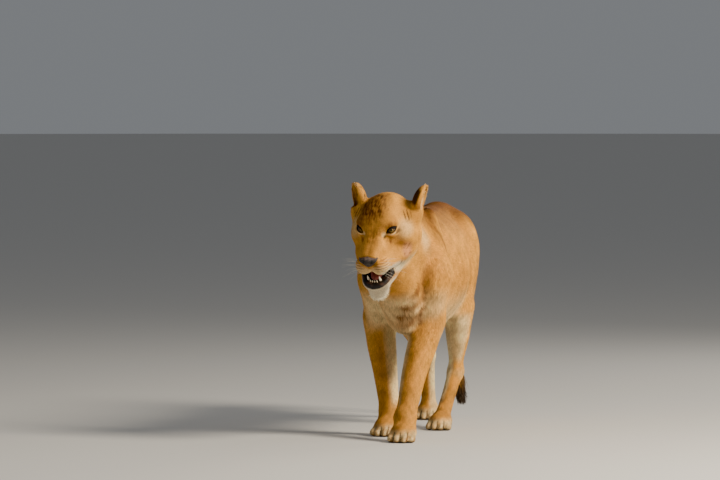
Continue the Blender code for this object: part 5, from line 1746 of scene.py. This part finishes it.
ear_roots = sown_where(in_ears, EAR_LOCKS)
count = len(ear_roots.p)
across_cup = np.zeros((count, 3))
for cup in EARS:
    matrix = np.array(cup)
    near = np.linalg.norm(ear_roots.p - matrix[:3, 3], axis=1) < 0.12
    across_cup[near] = 0.62 * matrix[:3, 0] - 0.42 * matrix[:3, 1] + 0.45 * matrix[:3, 2]
tanned = 0.2 + random.random(count) * 0.8
on_right = (local(ear_roots.p, HEAD)[:, 0] < 0) * random.uniform(0.4, 1.0, count)
colour = paint(CREAM, (tanned, TAN), (on_right, GOLD), (0.4 * on_right, RUST))
locks("ear_hair", ear_roots, across_cup + 0.10 * random.normal(size=(count, 3)),
      -0.35 * ear_roots.normal, random.uniform(0.009, 0.020, count),
      random.uniform(0.0010, 0.0018, count), colour * random.uniform(0.6, 1.05, (count, 1)),
      long_material)
print(count, "locks in the ears")

# %% [markdown]
# # Whiskers and claws
# A whisker is a thin tapering tube of four sides along a bent line. They grow in four rows out of
# the pads beside the nose. The claws are drawn in when a lion walks, so only a dark tip shows over
# each toe. It is a tube of the same kind, short, thick and bent down.

# %% Tapered tubes
def tubes(name, starts, ways, bends, length, radius, around, stations, material):
    """One piece of tapered tubes, each along a line that starts one way and bends another."""
    t = np.linspace(0, 0.96, stations)[:, None]
    middle = starts[:, None] + length[:, None, None] * (t * ways[:, None] + t**2 * bends[:, None])
    way = unit(ways[:, None] + 2 * t * bends[:, None])
    side = unit(np.cross(way, (0.31, 0.17, 0.93)))
    other = np.cross(side, way)
    thick = (radius * (1 - t**1.4))[:, None]
    turn = np.linspace(0, 2 * math.pi, around, endpoint=False)[:, None]
    round_it = np.cos(turn) * side[:, :, None] + np.sin(turn) * other[:, :, None]
    rings = (middle[:, :, None] + thick * round_it).reshape(len(starts), -1, 3)
    ends = np.stack([starts, starts + length[:, None] * (ways + bends)], axis=1)
    points = np.concatenate([rings, ends], axis=1)
    faces = repeated(closed_grid(around, stations), len(starts), points.shape[1])
    return piece_of(name, points.reshape(-1, 3), faces, material)


def plain_material(name, colour, scale, low, high, roughness):
    """One colour, streaked darker and lighter by a noise."""
    made = Finish(name, Roughness=roughness)
    made.speckle(scale, low, high, colour=colour)
    return made.material


# %% Whiskers
def whisker_lines():
    """Roots on the pads, in the head's frame, and the way each whisker goes."""
    starts, ways, sizes = [], [], []
    for side, row in product((LEFT, RIGHT), range(4)):
        for place in range(4 if row in (1, 2) else 3):
            root = (side * (0.030 + 0.0065 * place), -0.204 + 0.013 * place, -0.022 - 0.0095 * row)
            way = (side * (0.86 + 0.05 * place), -0.10 + 0.20 * place, 0.22 - 0.12 * row)
            starts.append(HEAD @ Vector(root))
            ways.append((HEAD.to_3x3() @ Vector(way)).normalized())
            sizes.append(0.046 + 0.011 * place + 0.006 * row)
    return np.array(starts), np.array(ways), np.array(sizes)


starts, ways, sizes = whisker_lines()
depth = skin_measure(starts)
starts = starts - (depth + 0.001)[:, None] * slope_of(skin_measure, starts)
ways = ways + 0.10 * random.normal(size=ways.shape)
droop = np.array((0.0, 0.04, -0.30)) + 0.05 * random.normal(size=ways.shape)
tubes("whiskers", starts, ways, droop, sizes, 0.00038, 4, 9,
      plain_material("whisker", (0.80, 0.74, 0.62), 90.0, 0.85, 1.1, 0.35))
print(len(starts), "whiskers")


# %% Claws
def claw_lines():
    """Where each claw leaves its toe, above the pad, and which way it points."""
    starts, ways = [], []
    for (paw, back, s), (place, reach) in product(PAWS, TOES):
        starts.append(paw @ Vector((place * 1.06 * s, (0.004 - reach) * s + back, 0.0235 * s)))
        ways.append(paw.to_3x3() @ Vector((place * 3, -0.95, -0.25)))
    return np.array(starts), np.array(ways)


starts, ways = claw_lines()
count = len(starts)
tubes("claws", starts, ways, np.tile((0.0, 0.0, -0.42), (count, 1)),
      np.full(count, 0.0165), 0.0030, 10, 8,
      plain_material("claw_horn", (0.055, 0.036, 0.024), 260.0, 0.7, 1.5, 0.38))
print(count, "claws")
